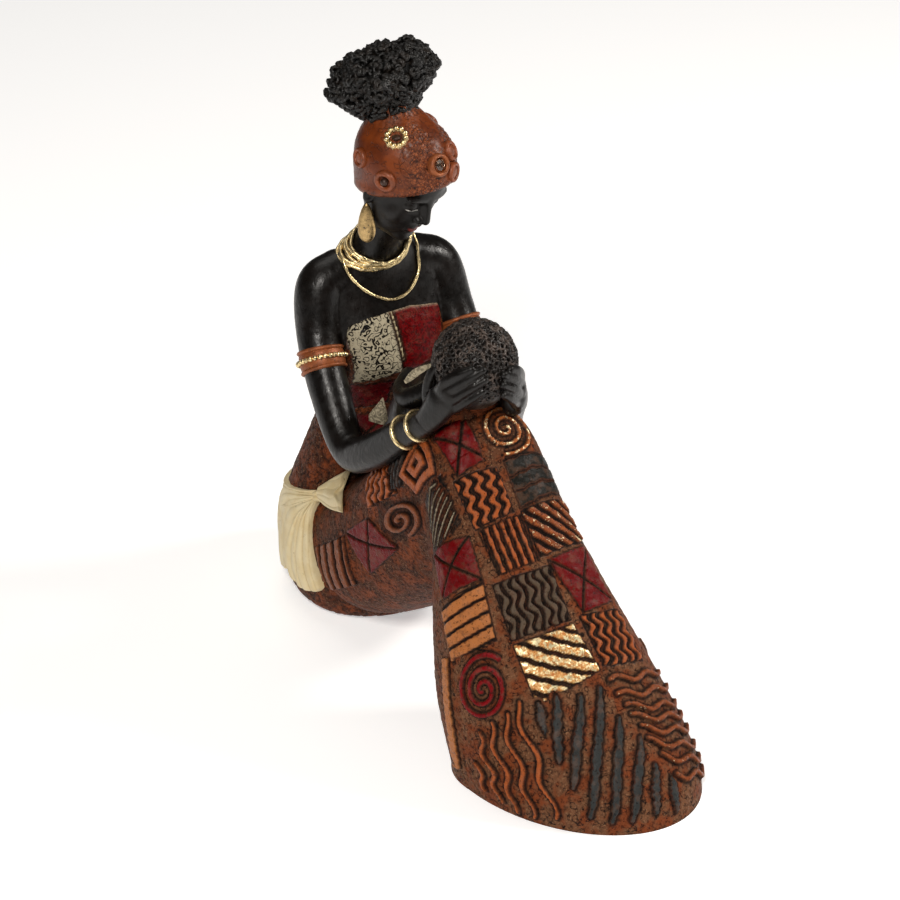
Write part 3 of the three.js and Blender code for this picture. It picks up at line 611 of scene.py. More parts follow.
# Corners are (mm down the ridge, mm round it), from the top left one clockwise as seen from the front
skirtPatches = [
    patch(cross, "crimson", ((111, -20), (112, -6), (130, -4), (131, -17)), rise=0.7),
    patch(spiral, "copper", ((110, -4), (109, 19), (130, 17), (131, -6)), leaf=0.8, turns=2.6, width=1.3,
          start=0.7, rise=1.1, below="soot", margin=-0.6),
    patch(bars, "charcoal", ((131, 1), (127, 22), (144, 23), (150, 1)), angle=90, pitch=5.6, width=4.7,
          wave=0.2, length=15, below="rust", rise=0.4),
    patch(bars, "orange", ((131, -19), (133, -2), (150, -1), (152, -17)), angle=4, pitch=4.3, width=2.2,
          wave=0.9, length=5.6, stair=True, drift=0.12, below="charcoal", cover=0.6),
    patch(bars, "orange", ((152, -16), (151, 1), (169, 2), (170, -15)), angle=2, pitch=2.9, width=1.25,
          wave=0.1, length=20, uneven=0.25),
    patch(bars, "russet", ((150, 1), (146, 23), (164, 25), (168, 2)), angle=138, pitch=3.8, width=2.1,
          leaf=0.5, below="soot", cover=0.7, uneven=0.15),
    patch(plain, "soot", ((116, -42), (125, -21), (147, -21), (146, -44)), rise=0.2, wobble=1.2),
    patch(cross, "crimson", ((143, -40), (152, -19), (169, -20), (168, -39)), rise=0.7),
    patch(cross, "crimson", ((169, 4), (165, 24), (189, 25), (191, 9)), rise=0.7),
    patch(bars, "slate", ((172, -18), (171, 5), (192, 4), (194, -20)), angle=0, pitch=3.2, width=1.7,
          wave=1.0, length=9, uneven=0.4, below="soot", cover=0.5),
    patch(bars, "tan", ((170, -41), (169, -20), (192, -24), (197, -45)), angle=90, pitch=5.7, width=4.5,
          offset=0.5, uneven=0.03, wobble=0.1, rise=0.8, cover=0.3),
    patch(bars, "orange", ((191, 7), (192, 26), (214, 26), (211, 7)), angle=2, pitch=3.7, width=1.6, wave=1.0,
          length=6.5, uneven=0.3, below="soot", cover=0.6),
    patch(bars, "gold", ((195, -20), (193, 4), (212, 6), (219, -22)), angle=126, pitch=5.0, width=3.3,
          leaf=1.0, uneven=0.12, wobble=0.1, rise=0.8, cover=0.3),
    patch(spiral, "cherry", ((194, -42), (194, -21), (223, -30), (226, -54)), turns=2.75, width=1.9,
          start=0.13, rise=1.2, margin=-0.5, reach=0.93),
    patch(bars, "tan", ((191, -51), (193, -44), (256, -70), (262, -82)), pitch=9, width=5.4, margin=0.2,
          wobble=0.4, angle=1, below="soot"),
    patch(bars, "orange", ((56, -20), (76, -20), (94, -40), (70, -42)), angle=22, pitch=4.6, width=2.5,
          wave=0.9, length=8, uneven=0.4, below="soot", cover=0.5, rise=1.4),
    patch(bars, "iron", ((76, -18), (94, -20), (98, -38), (89, -38)), angle=12, pitch=3.0, width=1.5,
          uneven=0.3, below="soot", cover=0.7),
    patch(frames, "orange", ((94, -33), (101.5, -18.5), (123, -24.5), (110, -43.5)), pitch=4.6, width=2.9,
          below="soot", cover=0.5, rise=1.2, margin=0),
    patch(spiral, "bar", ((77, -41), (111, -44), (113, -60), (81, -60)), turns=1.9, width=2.6, start=0.3,
          rise=1.4, below="soot", cover=0.5, margin=-0.3),
    patch(cross, "crimson", ((49, -47), (69, -45), (92, -63), (66, -70)), rise=0.8, groove=0.6),
    patch(bars, "bar", ((19, -49), (48, -48), (53, -72), (24, -70)), angle=4, pitch=7.2, width=4.2,
          uneven=0.08, below="soot", cover=0.5, rise=1.3),
    # the side away from the camera, plainer
    patch(cross, "maroon", ((72, 24), (98, 24), (98, 44), (72, 44)), rise=0.7),
    patch(bars, "orange", ((120, 30), (140, 30), (142, 48), (122, 48)), angle=90, pitch=4.2, width=2.2,
          wave=0.8, length=8),
    patch(bars, "slate", ((150, 30), (150, 50), (172, 52), (172, 32)), angle=10, pitch=4.2, width=2.2),
    patch(spiral, "bar", ((194, 36), (194, 60), (220, 62), (220, 38)), turns=2.2, width=2.0, start=0.3,
          rise=1.1),
]
hairline = {"pattern": stroke, "paint": "pewter", "width": 0.8, "rise": 0.6, "below": "soot"}
skirtPatches += [{**hairline, "corners": ends} for ends in (
    ((125, -26), (122, -31), (125, -40)), ((128, -25), (128, -32), (131, -41)), ((131, -24), (133, -32), (137, -41)),
    ((134, -23), (137, -31), (141, -39)), ((137, -22), (141, -29), (144, -35)), ((141, -22), (144, -26), (146, -29)))]
slash = {"pattern": stroke, "paint": "iron", "width": 2.6, "taper": 0.8, "uneven": 0.22, "lumps": 47, "rise": 1.1,
         "below": "soot", "parts": 8, "wave": 0.25, "waves": 1.4, "shadow": 1.8}
skirtPatches += [{**slash, "corners": ends} for ends in (
    ((218, -21), (231, -24)), ((217, -14), (242, -25)), ((219, -6), (253, -25)), ((218, 2), (265, -24)),
    ((230, 3), (267, -17)), ((239, 7), (267, -10)), ((250, 7), (266, -1)), ((256, 11), (268, 7)))]
cord = {"pattern": stroke, "paint": "orange", "width": 1.55, "taper": 0.4, "rise": 1.4, "parts": 24, "wave": 1.4,
        "waves": 2.1, "below": "soot", "shadow": 1.6}
skirtPatches += [{**cord, "corners": ends, "phase": 0.1 + 0.07 * n} for n, ends in enumerate((
    ((228, -48), (266, -58)), ((223, -41), (270, -53)), ((220, -34), (269, -46)), ((216, -28), (267, -37))))]
skirtPatches.append({**cord, "corners": ((246, -59), (264, -63)), "waves": 0.9})
ripple = {**cord, "paint": "russet", "waves": 2.0, "width": 1.9, "wave": 1.2, "leaf": 0.16}
skirtPatches += [{**ripple, "corners": ends, "phase": 0.05 * n} for n, ends in enumerate((
    ((216, 7), (221, 33)), ((222, 7), (228, 34)), ((227, 8), (236, 35)), ((231, 8), (242, 36)), ((236, 9), (249, 37)),
    ((241, 9), (257, 37)), ((248, 11), (264, 38)), ((257, 13), (268, 36))))]

skirtSkin = Skin(dress["skirt"])
torsoSkin = Skin(dress["torso"])
print("skirt", round(skirtSkin.along[-1], 1), "torso", round(torsoSkin.along[-1], 1), "mm along")


def dressCloth():
    finish = Finish("dress_paint")
    pad, ridge, leaf, wash, scroll = [finish.carried(name) for name in ("pad", "ridge", "leaf", "wash", "scroll")]
    paint = finish.carried("paint", "Color")
    patchy, fine, tiny = finish.grain(7, 3), finish.grain(1.5, 4, 0.7), finish.grain(0.7, 2)
    squiggle = 1 - finish.step(finish.grain(3.6, 1.5).fold(4), 0.05, 0.2)  # thin dark cracks
    shins = finish.step(finish.axis(finish.place, 1), 0.0, -0.06)  # the ground is paler down the shins
    ground = finish.blend(shins, paints["ground"], shade(110, 72, 48))
    ground = finish.blend(finish.step(patchy, 0.42, 0.62), ground, paints["rust"])
    ground = finish.blend(finish.step(fine, 0.44, 0.68) * 0.75, ground, paints["umber"])
    pale = finish.step(tiny, 0.54, 0.7) * finish.step(patchy, 0.54, 0.42)
    ground = finish.blend(pale * 0.55, ground, paints["speck"])
    ground = finish.blend(squiggle * finish.step(fine, 0.4, 0.5) * 0.85, ground, paints["soot"])
    stain = finish.grain(2.0, 4, 0.65)
    stained = finish.blend(0.7, paint, paints["soot"])
    worn = finish.blend(finish.step(stain, 0.48, 0.66) * (0.6 - scroll * 0.35), paint, stained)
    worn = finish.blend(finish.step(finish.grain(1.1, 2), 0.6, 0.66) * 0.6, worn, paints["soot"])
    ridgeHighlight = finish.step(finish.grain(4, 4, 0.6), 0.46, 0.66) * (ridge - scroll * 0.6)
    worn = finish.blend(ridgeHighlight * 0.1, worn, shade(190, 140, 112))  # painted highlight: pale flecks on the ridges
    curl = finish.grain(2.7, 1.2).fold(5)  # black scrollwork painted on the bodice
    worn = finish.blend(finish.step(curl + patchy * 1.3, 1.12, 1.42) * scroll, worn, paints["soot"])
    flake = finish.grain(1.7, 5, 0.75)
    worn = finish.blend((1 - finish.step(flake, 0.4, 0.44)) * leaf * 0.9, worn, paints["copper"])
    # gold flakes, sparse where leaf is low
    glint = finish.step(flake + leaf * 0.16, 0.66, 0.69) * finish.step(leaf, 0.02, 0.06)
    worn = finish.blend(glint, worn, paints["paleGold"])
    colour = finish.blend(pad, ground, worn)
    # painted shade: near black in the grooves beside the ridges
    colour = finish.blend(wash * 0.92, colour, paints["soot"])
    low, high, polish = dress["gloss"]
    relief = (fine + tiny * 0.5 - squiggle * 0.5 + stain * 0.4) * (1 - ridge * 0.6)
    return finish.end(Base_Color=colour, Metallic=glint * 0.85, Specular_IOR_Level=0.11,
                      Roughness=finish.sheen(fine, low, high) - ridge * polish - scroll * 0.06,
                      Normal=finish.bump(relief, dress["relief"]))


def gritOn(base, ridge):  # the rough ground between the ridges, mm
    rough = (clouds(base, 1.3) - 0.5) * 1.2 + (clouds(base + 30, 3.1) - 0.5)
    return rough * dress["grit"] * (1 - ridge)


def carvedPiece(name, skin, along, share, height, colour, worked):
    # The skin lifted by height, and cut off at the ground
    spot = skin.proud(along, share, height)
    spot[..., 2] = np.maximum(spot[..., 2], 0)
    return makePiece(name, [blockMesh(spot, carried={"paint": colour, **worked})], dressPaint)


def skirtPiece(name, rows, columns):
    # A grid of (mm down the ridge, share of the half girth round it), lifted off the skin by its carving
    down, share = grid(rows, columns)
    base, left = skirtSkin.at(down, share), skirtSkin.along[-1] - dress["hem"] - down
    worked, colour = stamp(down, skirtSkin.round(down, share), skirtPatches, soft((left - 0.5) / 2))
    height = worked.pop("height") + gritOn(base, worked["ridge"]) * soft(left / 2)
    return carvedPiece(name, skirtSkin, down, share, height, colour, worked)


dressPaint = dressCloth()
# The mesh is fine where the camera sees the carving, and coarse round the back
shin = skirtPiece("dress_skirt", steps((dress["split"], 0.52), skirtSkin.along[-1]),
                  steps((-1, 0.022), (-0.62, 0.0042), (0.4, 0.022), 0.978))
skirtPiece("dress_lap", steps((0, 2), (16, 0.52), dress["split"]),
           steps((-1, 0.025), (-0.74, 0.0052), (-0.1, 0.008), (0.5, 0.025), 0.975))
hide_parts("statuette")

# Bodice and hips
torsoTiles = [  # corners are (mm up, share round)
    patch(plain, "pewter", ((141, -0.33), (143, -0.035), (117, -0.005), (111, -0.27)), below="soot", rise=0.5,
          cover=1, margin=0.3, scroll=1, wobble=0.5),
    patch(plain, "crimson", ((144, -0.035), (143, 0.29), (112, 0.3), (118, 0.0)), below="soot", rise=0.5,
          cover=1, margin=0.3, scroll=0.5, wobble=0.4),
    patch(plain, "maroon", ((110, -0.28), (112, -0.03), (98, -0.04), (96, -0.26)), below="soot", rise=0.35,
          cover=0.8, scroll=0.5, wobble=0.5),
    patch(plain, "maroon", ((109, 0.0), (107, 0.28), (88, 0.25), (90, -0.01)), below="soot", rise=0.4,
          cover=1, scroll=0.4),
    patch(cross, "maroon", ((94, -0.3), (94, -0.03), (76, -0.03), (76, -0.3)), rise=0.5),
    patch(stroke, "cream", ((141.5, -0.035), (122, 0.0)), width=0.65, rise=0.5, uneven=0.5, lumps=57,
          shadow=0.5, parts=12),
]
bodiceTop = [(-1, 131), (-0.5, 125), (-0.36, 125), (-0.305, 126), (-0.285, 135.2), (-0.26, 136.4), (-0.169, 139),
             (-0.048, 140.3), (0.088, 141), (0.24, 138.8), (0.285, 137.5), (0.31, 129), (0.5, 125), (1, 131)]


def torsoPiece():
    # A grid of (mm up the body, share round it) from the ground to the bodice's edge, lifted by its carving
    share = steps((-1, 0.014), (-0.42, 0.0065), (0.36, 0.014), 0.986)
    top = np.interp(share, *np.transpose(bodiceTop))
    top = (np.roll(top, 1) + 2 * top + np.roll(top, -1)) / 4
    full = 141.5
    up = steps((0, 2), (20, 0.7), full)[:, None] * top[None] / full
    share, left = share[None] + 0 * up, top[None] - up
    girth = lambda corner: (corner[0], float(torsoSkin.round(*np.array(corner, float)[:, None])[0]))
    tiles = [{**tile, "corners": tuple(girth(corner) for corner in tile["corners"])} for tile in torsoTiles]
    base = torsoSkin.at(up, share)
    worked, colour = stamp(up, torsoSkin.round(up, share), tiles, np.ones_like(up))
    swirl = soft(1 - np.abs((clouds(base, 7) * 5) % 1 - 0.5) * 7) * (1 - worked["pad"])
    height = worked.pop("height") + gritOn(base, worked["ridge"]) + dress["swirl"] * (1 - swirl)
    height = height - dress["top"] * soft((0.8 - left) / 0.8)
    # the winding grooves on the hips take the same painted shade
    worked["wash"] = np.maximum(worked["wash"], swirl * 0.8)
    piping = 0.8 * soft((0.8 - left) / 0.4) * soft((0.29 - np.abs(share)) / 0.02)  # a pale line along the top
    colour[..., :3] = mix(colour[..., :3], np.array(paints["silver"]), piping[..., None])
    worked["pad"], worked["wash"] = np.maximum(worked["pad"], piping), worked["wash"] * (1 - piping)
    carvedPiece("dress_bodice", torsoSkin, up, share, height, colour, worked)


torsoPiece()
print("dress done")

# Figure
figure = {  # joints of the limbs: x, forward, up, radius, and flatness for the palm
    "arm": [(16, 4, 142, 8.8), (24, 5, 137.5, 9), (27.5, 11, 122, 8.2), (29, 24, 105, 7.6), (29, 42, 89, 6.8),
            (26.5, 58, 96, 6.8), (22, 75, 111, 5.8), (18.5, 87, 121, 4.8)],
    "palm": [(19.2, 84, 118.5, 4.7, 1), (18.2, 88, 122.5, 4.9, 0.9), (17.2, 91.5, 127.5, 5.6, 0.72),
             (16.2, 94.4, 132.4, 6, 0.6), (15.8, 96, 135.6, 5.2, 0.5)],
    "thumb": [(17, 87, 126, 2.6), (17.3, 85.6, 132.5, 2.4), (16.2, 86, 138.5, 2.1), (14.6, 87.5, 142.5, 1.6)],
    "fingers": [
        [(16.8, 93, 134, 2.1), (15.9, 96.2, 140.2, 2.1), (12.8, 100.2, 144.8, 1.9), (9, 102.8, 147.4, 1.45)],
        [(16.6, 94.2, 132.5, 2.2), (15.2, 97.8, 137.8, 2.15), (11, 102, 143, 1.95), (5.6, 104.6, 147, 1.5)],
        [(15.8, 95.4, 130.6, 2.2), (14, 99.2, 135, 2.15), (10, 103, 139.8, 1.9), (5, 105.3, 143.4, 1.45)],
        [(14.8, 95.6, 128.6, 2.0), (12.4, 99.6, 132.2, 1.95), (9, 103, 136, 1.75), (5.4, 104.8, 139, 1.3)]],
    "voxel": 0.0008, "handVoxel": 0.00042,  # m
    "farHand": (3, 3.5, 121, 8),  # the far hand: mm inwards, mm lower, from which height, over how many mm
    "gloss": (0.27, 0.41),
}


def blackPaint(finish):  # two near blacks in broad patches
    return finish.blend(finish.step(finish.grain(9, 2), 0.4, 0.65), paints["skin"], shade(17, 12, 9))


def skinFinish():
    finish = Finish("black_skin")
    fine = finish.grain(2.5, 4, 0.55)
    streaks = finish.grain(1.6, 3, 0.6, finish.stretched(1, 1, 0.18))  # brushed on, down the limbs
    return finish.end(Base_Color=blackPaint(finish), Roughness=finish.sheen(fine, *figure["gloss"]),
                      Normal=finish.bump(fine + streaks, 0.2, 0.7), Specular_IOR_Level=0.3)


skinPaint = skinFinish()


def remeshed(piece, voxel, rounds):  # its overlapping forms melted into one skin
    melt = piece.modifiers.new("melt", "REMESH")
    melt.mode, melt.voxel_size, melt.use_smooth_shade = "VOXEL", voxel, True
    calm = piece.modifiers.new("calm", "SMOOTH")
    calm.factor, calm.iterations = 0.5, rounds


def armJoints(side):  # side is -1 for the near arm, 1 for the far one, whose forearm turns inwards
    inwards = lambda forward: max(0, forward - 42) * 0.07 if side > 0 else 0
    return [(side * x - inwards(forward), forward, up, radius) for x, forward, up, radius in figure["arm"]]


def bodyPiece():
    # The body from under the bodice's edge upwards, sunk a little under the dress, and both arms
    rows = steps((104, 1.5), torsoSkin.along[-1])
    up, share = grid(rows, np.linspace(-1, 1, 90, endpoint=False))
    blocks = [blockMesh(torsoSkin.proud(up, share, -0.35))]
    blocks += [blockMesh(tube(armJoints(side), 70, 28)) for side in (-1, 1)]
    remeshed(makePiece("figure_body", blocks, skinPaint), figure["voxel"], 6)


def handPieces():
    inwards, lower, begin, over = figure["farHand"]
    forms = [(figure["palm"], 24), (figure["thumb"], 16), *((finger, 14) for finger in figure["fingers"])]
    blocks = []
    for side in (-1, 1):
        far = 1 if side > 0 else 0
        sink = lambda up: far * lower * min(max(up - begin, 0) / over, 1)
        put = lambda rows: [(side * x - far * inwards, forward, up - sink(up), *size)
                            for x, forward, up, *size in rows]
        blocks += [blockMesh(tube(put(form), 30, sides)) for form, sides in forms]
    remeshed(makePiece("figure_hands", blocks, skinPaint), figure["handVoxel"], 6)


bodyPiece()
handPieces()

# Head
head = {
    "middle": (-1, 27, 189), "yaw": 36, "pitch": 30,  # mm, degrees
    "face": 13,  # the face's turn under the wrap, degrees
    "centre": (0, 3, -5), "eye": 5.7, "mouth": -12.3, "gloss": (0.34, 0.46),
}


def turnAbout(axis, degrees):
    c, s = math.cos(math.radians(degrees)), math.sin(math.radians(degrees))
    return np.array({"x": [[1, 0, 0], [0, c, -s], [0, s, c]], "z": [[c, -s, 0], [s, c, 0], [0, 0, 1]]}[axis])


headTurn = turnAbout("z", head["yaw"]) @ turnAbout("x", head["pitch"])
headMiddle = onStand(*head["middle"])


def onHead(points):  # (x, forward, up) of the head's own frame to the part's frame
    points = np.asarray(points, float) * (1, -1, 1)
    return points @ headTurn.T + headMiddle


def egg(p, middle, radii):  # signed distance to an ellipsoid, near enough close to its surface
    radii = np.array(radii, float)
    q = (p - np.array(middle, float)) / radii
    length = np.linalg.norm(q, axis=-1)
    return length * (length - 1) / np.maximum(np.linalg.norm(q / radii, axis=-1), 1e-6)


def rod(p, a, b, ra, rb):  # signed distance to a tapered rod
    a, b = np.array(a, float), np.array(b, float)
    t = np.clip(((p - a) @ (b - a)) / ((b - a) @ (b - a)), 0, 1)
    return np.linalg.norm(p - a - t[..., None] * (b - a), axis=-1) - mix(ra, rb, t)


def join(a, b, k):  # smooth union
    h = np.clip(0.5 + 0.5 * (b - a) / k, 0, 1)
    return mix(b, a, h) - k * h * (1 - h)


def cut(a, b, k):  # a without b, smoothly
    return -join(-a, b, k)


def faceFrame(p):  # the face is turned a little towards the near side under the wrap
    c, s = math.cos(math.radians(head["face"])), math.sin(math.radians(head["face"]))
    return np.stack([c * p[..., 0] + s * p[..., 1], c * p[..., 1] - s * p[..., 0], p[..., 2]], -1)


# Both sides alike: what is done, the form and its sizes, and mm that it blends over
faceForms = [
    (join, egg, ((0, 5, -9.5), (11.4, 12, 12.8)), 4),  # cheeks and jaw
    (join, egg, ((0, 13.2, -17.6), (4.2, 3.4, 3.2)), 3),  # chin
    (join, egg, ((7.6, 10.6, -7), (3.4, 3.2, 3.4)), 3),  # cheekbone
    (cut, egg, ((5.7, 18.2, -1.6), (4.2, 3.4, 2.9)), 1.6),  # eye socket
    (join, egg, ((5.4, 14.2, 2.2), (5, 2, 1.3)), 2),  # brow
    (join, egg, ((5.6, 12.9, -1.7), (3.3, 3.1, 2.5)), 0.5),  # lowered lid
    (cut, rod, ((3, 16.4, -2.9), (8.4, 14.4, -2.9), 0.3, 0.25), 0.35),
    (join, rod, ((0, 15.6, 1), (0, 19, -6.3), 1.5, 1.7), 1.6),  # nose
    (join, egg, ((1.9, 17.5, -6.9), (1.6, 1.8, 1.4)), 0.9),
    (cut, egg, ((1.1, 18, -8.5), (0.75, 0.9, 0.7)), 0.3),
    (join, egg, ((1.2, 15.9, -11), (2.7, 1.9, 1.1)), 0.8),  # lips
    (join, egg, ((0, 15.5, -13.2), (3.1, 1.9, 1.4)), 0.7),
    (cut, rod, ((0, 17.8, -12), (4.4, 15.6, -12.2), 0.32, 0.2), 0.35),
]
earForms = [
    (join, egg, ((12.8, -1.8, -6.6), (1.9, 2.4, 3.8)), 1),
    (cut, egg, ((14.7, -1.2, -6.2), (0.9, 1.3, 2.2)), 0.5),
]


def headForm(p):  # signed distance to the head
    skull, face = p.copy(), faceFrame(p)
    skull[..., 0], face[..., 0] = np.abs(skull[..., 0]), np.abs(face[..., 0])
    d = egg(skull, (0, 0.6, 1), (14, 16.8, 15.4))
    for place, forms in ((face, faceForms), (skull, earForms)):
        for change, form, sizes, blend in forms:
            d = change(d, form(place, *sizes), blend)
    return d


def cast(form, centre, directions, start, rounds):  # how far out the form's surface is in each direction
    reach = np.full(directions.shape[:-1], float(start))
    for _ in range(rounds):
        reach = reach - 0.85 * form(np.array(centre, float) + directions * reach[..., None])
    return reach


def crowd(n, focus):  # angles round a circle, closer together in front
    even = angles(n) - np.pi
    return even - focus * np.sin(even)


def faceFinish():
    finish = Finish("black_face")
    place = finish.carried("facePlace", "Vector")
    x, forward, up = [finish.axis(place, n) for n in range(3)]
    side = x.sum("ABSOLUTE") - head["eye"]
    arch = side * side
    low = up + 3.35 - arch * 0.055  # white of the eye, under the lowered lid
    white = finish.step(low, -0.26, -0.12) * (1 - finish.step(low + arch * 0.035, 0.16, 0.3))
    white = white * (1 - finish.step(arch, 5.4, 6.8))
    lips = x * x * 0.11 + (up - head["mouth"]) * (up - head["mouth"]) * 0.42
    front = finish.step(forward, 10, 11)
    red = (1 - finish.step(lips, 0.75, 1.15)) * 0.8
    colour = finish.blend(red * front, blackPaint(finish), shade(112, 34, 26))
    colour = finish.blend(white * front, colour, shade(226, 222, 214))
    fine = finish.grain(2.5, 4, 0.55)
    return finish.end(Base_Color=colour, Roughness=finish.sheen(fine, *head["gloss"]),
                      Normal=finish.bump(fine, 0.1, 0.6), Specular_IOR_Level=0.26)


def headPiece():
    # A grid of directions from the centre, closer together in front, each carried out to the head's surface
    rise, around = grid(np.linspace(-np.pi / 2, np.pi / 2, 172)[1:-1],
                        crowd(230, 0.5) - math.radians(head["face"]))
    way = np.stack([np.cos(rise) * np.sin(around), np.cos(rise) * np.cos(around), np.sin(rise)], -1)
    local = np.array(head["centre"]) + way * cast(headForm, head["centre"], way, 32, 34)[..., None]
    block = blockMesh(onHead(local), carried={"facePlace": faceFrame(local)})
    makePiece("figure_head", [block], faceFinish())


headPiece()
print("figure done")

# Head wrap
wrap = {  # mm in the head's frame
    "middle": (0.2, -1.1, 6.5), "radii": (17, 19.4, 16.4), "axis": (0, -0.62, 0.78),
    "edge": (-5.4, 0.84),  # its lower edge: height, and rise towards the front
    "grit": 0.5, "roll": 0.9, "drape": 0.25,  # depth of the crumbs, the rolled edge and the soft folds
    # directions from its middle to the buttons
    "gold": (-11.5, -3.7, 12.2), "cup": (-6.1, 13.6, 10.9), "bead": (-17.6, 2.5, -1.7),
    "discs": [(-14.8, -10.8, -2.7), (2.9, 12.4, 12.7), (1.6, 18.1, 7.4), (14, -3, 8)],
}


def wrapForm(p):
    d = egg(p, wrap["middle"], wrap["radii"])
    d = join(d, egg(p, (0.4, -0.4, -0.2), (15.1, 17.6, 15)), 2)
    return join(d, rod(p, (0, -8, 12), (0.5, -15, 19), 12, 8.4), 3)


def wrapFinish():
    finish = Finish("wrap_paint")
    worn = finish.carried("grit")
    fine, crumbs = finish.grain(1.0, 4, 0.7), finish.cells(1.1)
    colour = finish.blend(finish.step(finish.grain(10, 2), 0.4, 0.62), paints["wrap"], shade(122, 56, 19))
    rough = finish.blend(finish.step(fine, 0.4, 0.56), shade(56, 25, 13), shade(146, 78, 42))
    colour = finish.blend(worn * finish.step(fine, 0.35, 0.6), colour, rough)
    squiggle = 1 - finish.step(finish.grain(4.2, 1.5).fold(4), 0.05, 0.16)  # thin dark cracks
    colour = finish.blend((1 - finish.step(crumbs, 0.05, 0.2)) * worn * 0.6, colour, shade(46, 24, 16))
    colour = finish.blend(squiggle * (worn * 0.5 + 0.4), colour, shade(36, 18, 12))
    relief = fine * worn + crumbs * worn * 0.6 + fine * 0.15 - squiggle * 0.4
    return finish.end(Base_Color=colour, Roughness=finish.sheen(fine, 0.34, 0.5), Normal=finish.bump(relief, 0.35),
                      Specular_IOR_Level=0.2, Coat_Weight=0.1, Coat_Roughness=0.22)


def wrapPiece():
    # A grid of directions round the wrap's axis, from its slanted edge to its crown, each carried out to the
    # form's surface
    axis, side = unit(np.array(wrap["axis"], float)), np.array([1.0, 0, 0])
    front = np.cross(side, axis)
    front = front * np.sign(front[1])
    centre = np.array(wrap["middle"]) + (0, 0, 1)
    ring = circle(front, side, angles(230))
    # the lowest angle at which each direction still meets the wrap above its slanted edge
    trial = np.linspace(-1.1, 0.6, 120)
    way = unit(ring[None] * np.cos(trial)[:, None, None] + axis * np.sin(trial)[:, None, None])
    found = centre + way * cast(wrapForm, centre, way, 34, 24)[..., None]
    above = found[..., 2] - wrap["edge"][0] - wrap["edge"][1] * found[..., 1]
    start = trial[np.argmax(above > 0, axis=0)]
    start = (start + np.roll(start, 1) + np.roll(start, -1)) / 3
    t = np.linspace(0, 1, 150)[:, None]
    way = circle(ring[None], axis, mix(start[None], np.pi / 2 - 0.02, t**0.95))
    local = centre + way * cast(wrapForm, centre, way, 34, 30)[..., None]
    x, forward = local[..., 0], local[..., 1]
    gritty = soft((clouds(local, 7) - 0.1) / 0.25) * soft((x + 0.35 * forward + 17) / 9)
    grit = (clouds(local, 1.2) - 0.5) * wrap["grit"] * gritty
    roll = wrap["roll"] * np.exp(-((t * 26 - 1.1) ** 2) / 1.2)
    drape = wrap["drape"] * np.sin(x * 0.5 + forward * 0.3)
    lift = (grit + roll + drape * soft(t * 4)) * soft(t * 60 + 0.35)
    local = local + way * lift[..., None]
    inner = centre + (local[0] - centre) * 0.86  # the edge is turned in
    block = blockMesh(onHead(np.vstack([inner[None], local])), carried={"grit": np.vstack([gritty[:1], gritty])})
    makePiece("head_wrap", [block], wrapFinish())


wrapPiece()


def buttonFrame(direction):  # foot, outward and two sideways directions of a button on the wrap
    radii = np.array(wrap["radii"], float)
    way = unit(np.array(direction, float))
    foot = onHead(np.array(wrap["middle"]) + way / np.linalg.norm(way / radii))
    out = unit(onHead(way / radii**2) - onHead((0, 0, 0)))
    aside = unit(np.cross((0, 0, 1), out))
    return foot, out, aside, np.cross(out, aside)


def turned(lathe, profile, sides, scallop=0, count=0):
    # A lathe form: rows of (radius, lift) turned round the outward axis, with the radius scalloped count times
    foot, out, aside, up = lathe
    profile, angle = np.asarray(profile, float), angles(sides)
    radius = profile[:, :1] * (1 + scallop * np.cos(count * angle)[None])
    return foot + out * profile[:, 1, None, None] + circle(aside, up, angle) * radius[..., None]


def rim(lathe, inner, outer, height, sides, *scallops):
    # A rounded ring: its profile goes from the outer foot in a half ellipse over to the inner foot
    angle, base = np.linspace(0, np.pi, 14), -2.0
    middle, half = (inner + outer) / 2, (outer - inner) / 2
    arch = np.stack([middle + half * np.cos(angle), height * np.sin(angle) ** 0.8], -1)
    return blockMesh(turned(lathe, np.vstack([[outer, base], arch, [inner, base]]), sides, *scallops), ring=True)


def metalFinish(name, light, dark, roughness, wear, shine=1.0):  # rubbed metallic paint, dark where it is worn
    finish = Finish(name)
    fine, broad = finish.grain(0.8, 3), finish.grain(2.4, 3)
    between = tuple(a * 0.65 + b * 0.35 for a, b in zip(light, dark))
    colour = finish.blend(finish.step(broad, 0.4, 0.62), light, between)
    rubbed = finish.step(fine + broad * 0.5, 0.86, 1.0) * wear
    return finish.end(Base_Color=finish.blend(rubbed, colour, dark), Metallic=(1 - rubbed * 0.9) * shine,
                      Roughness=finish.sheen(fine, roughness, roughness + 0.2),
                      Normal=finish.bump(fine, 0.15, 0.7))


goldPaint = metalFinish("gold_leaf", shade(246, 222, 168), shade(60, 42, 22), 0.24, 0.8)
copperPaint = metalFinish("copper_paint", shade(150, 82, 42), shade(60, 30, 16), 0.36, 0.7, 0.35)


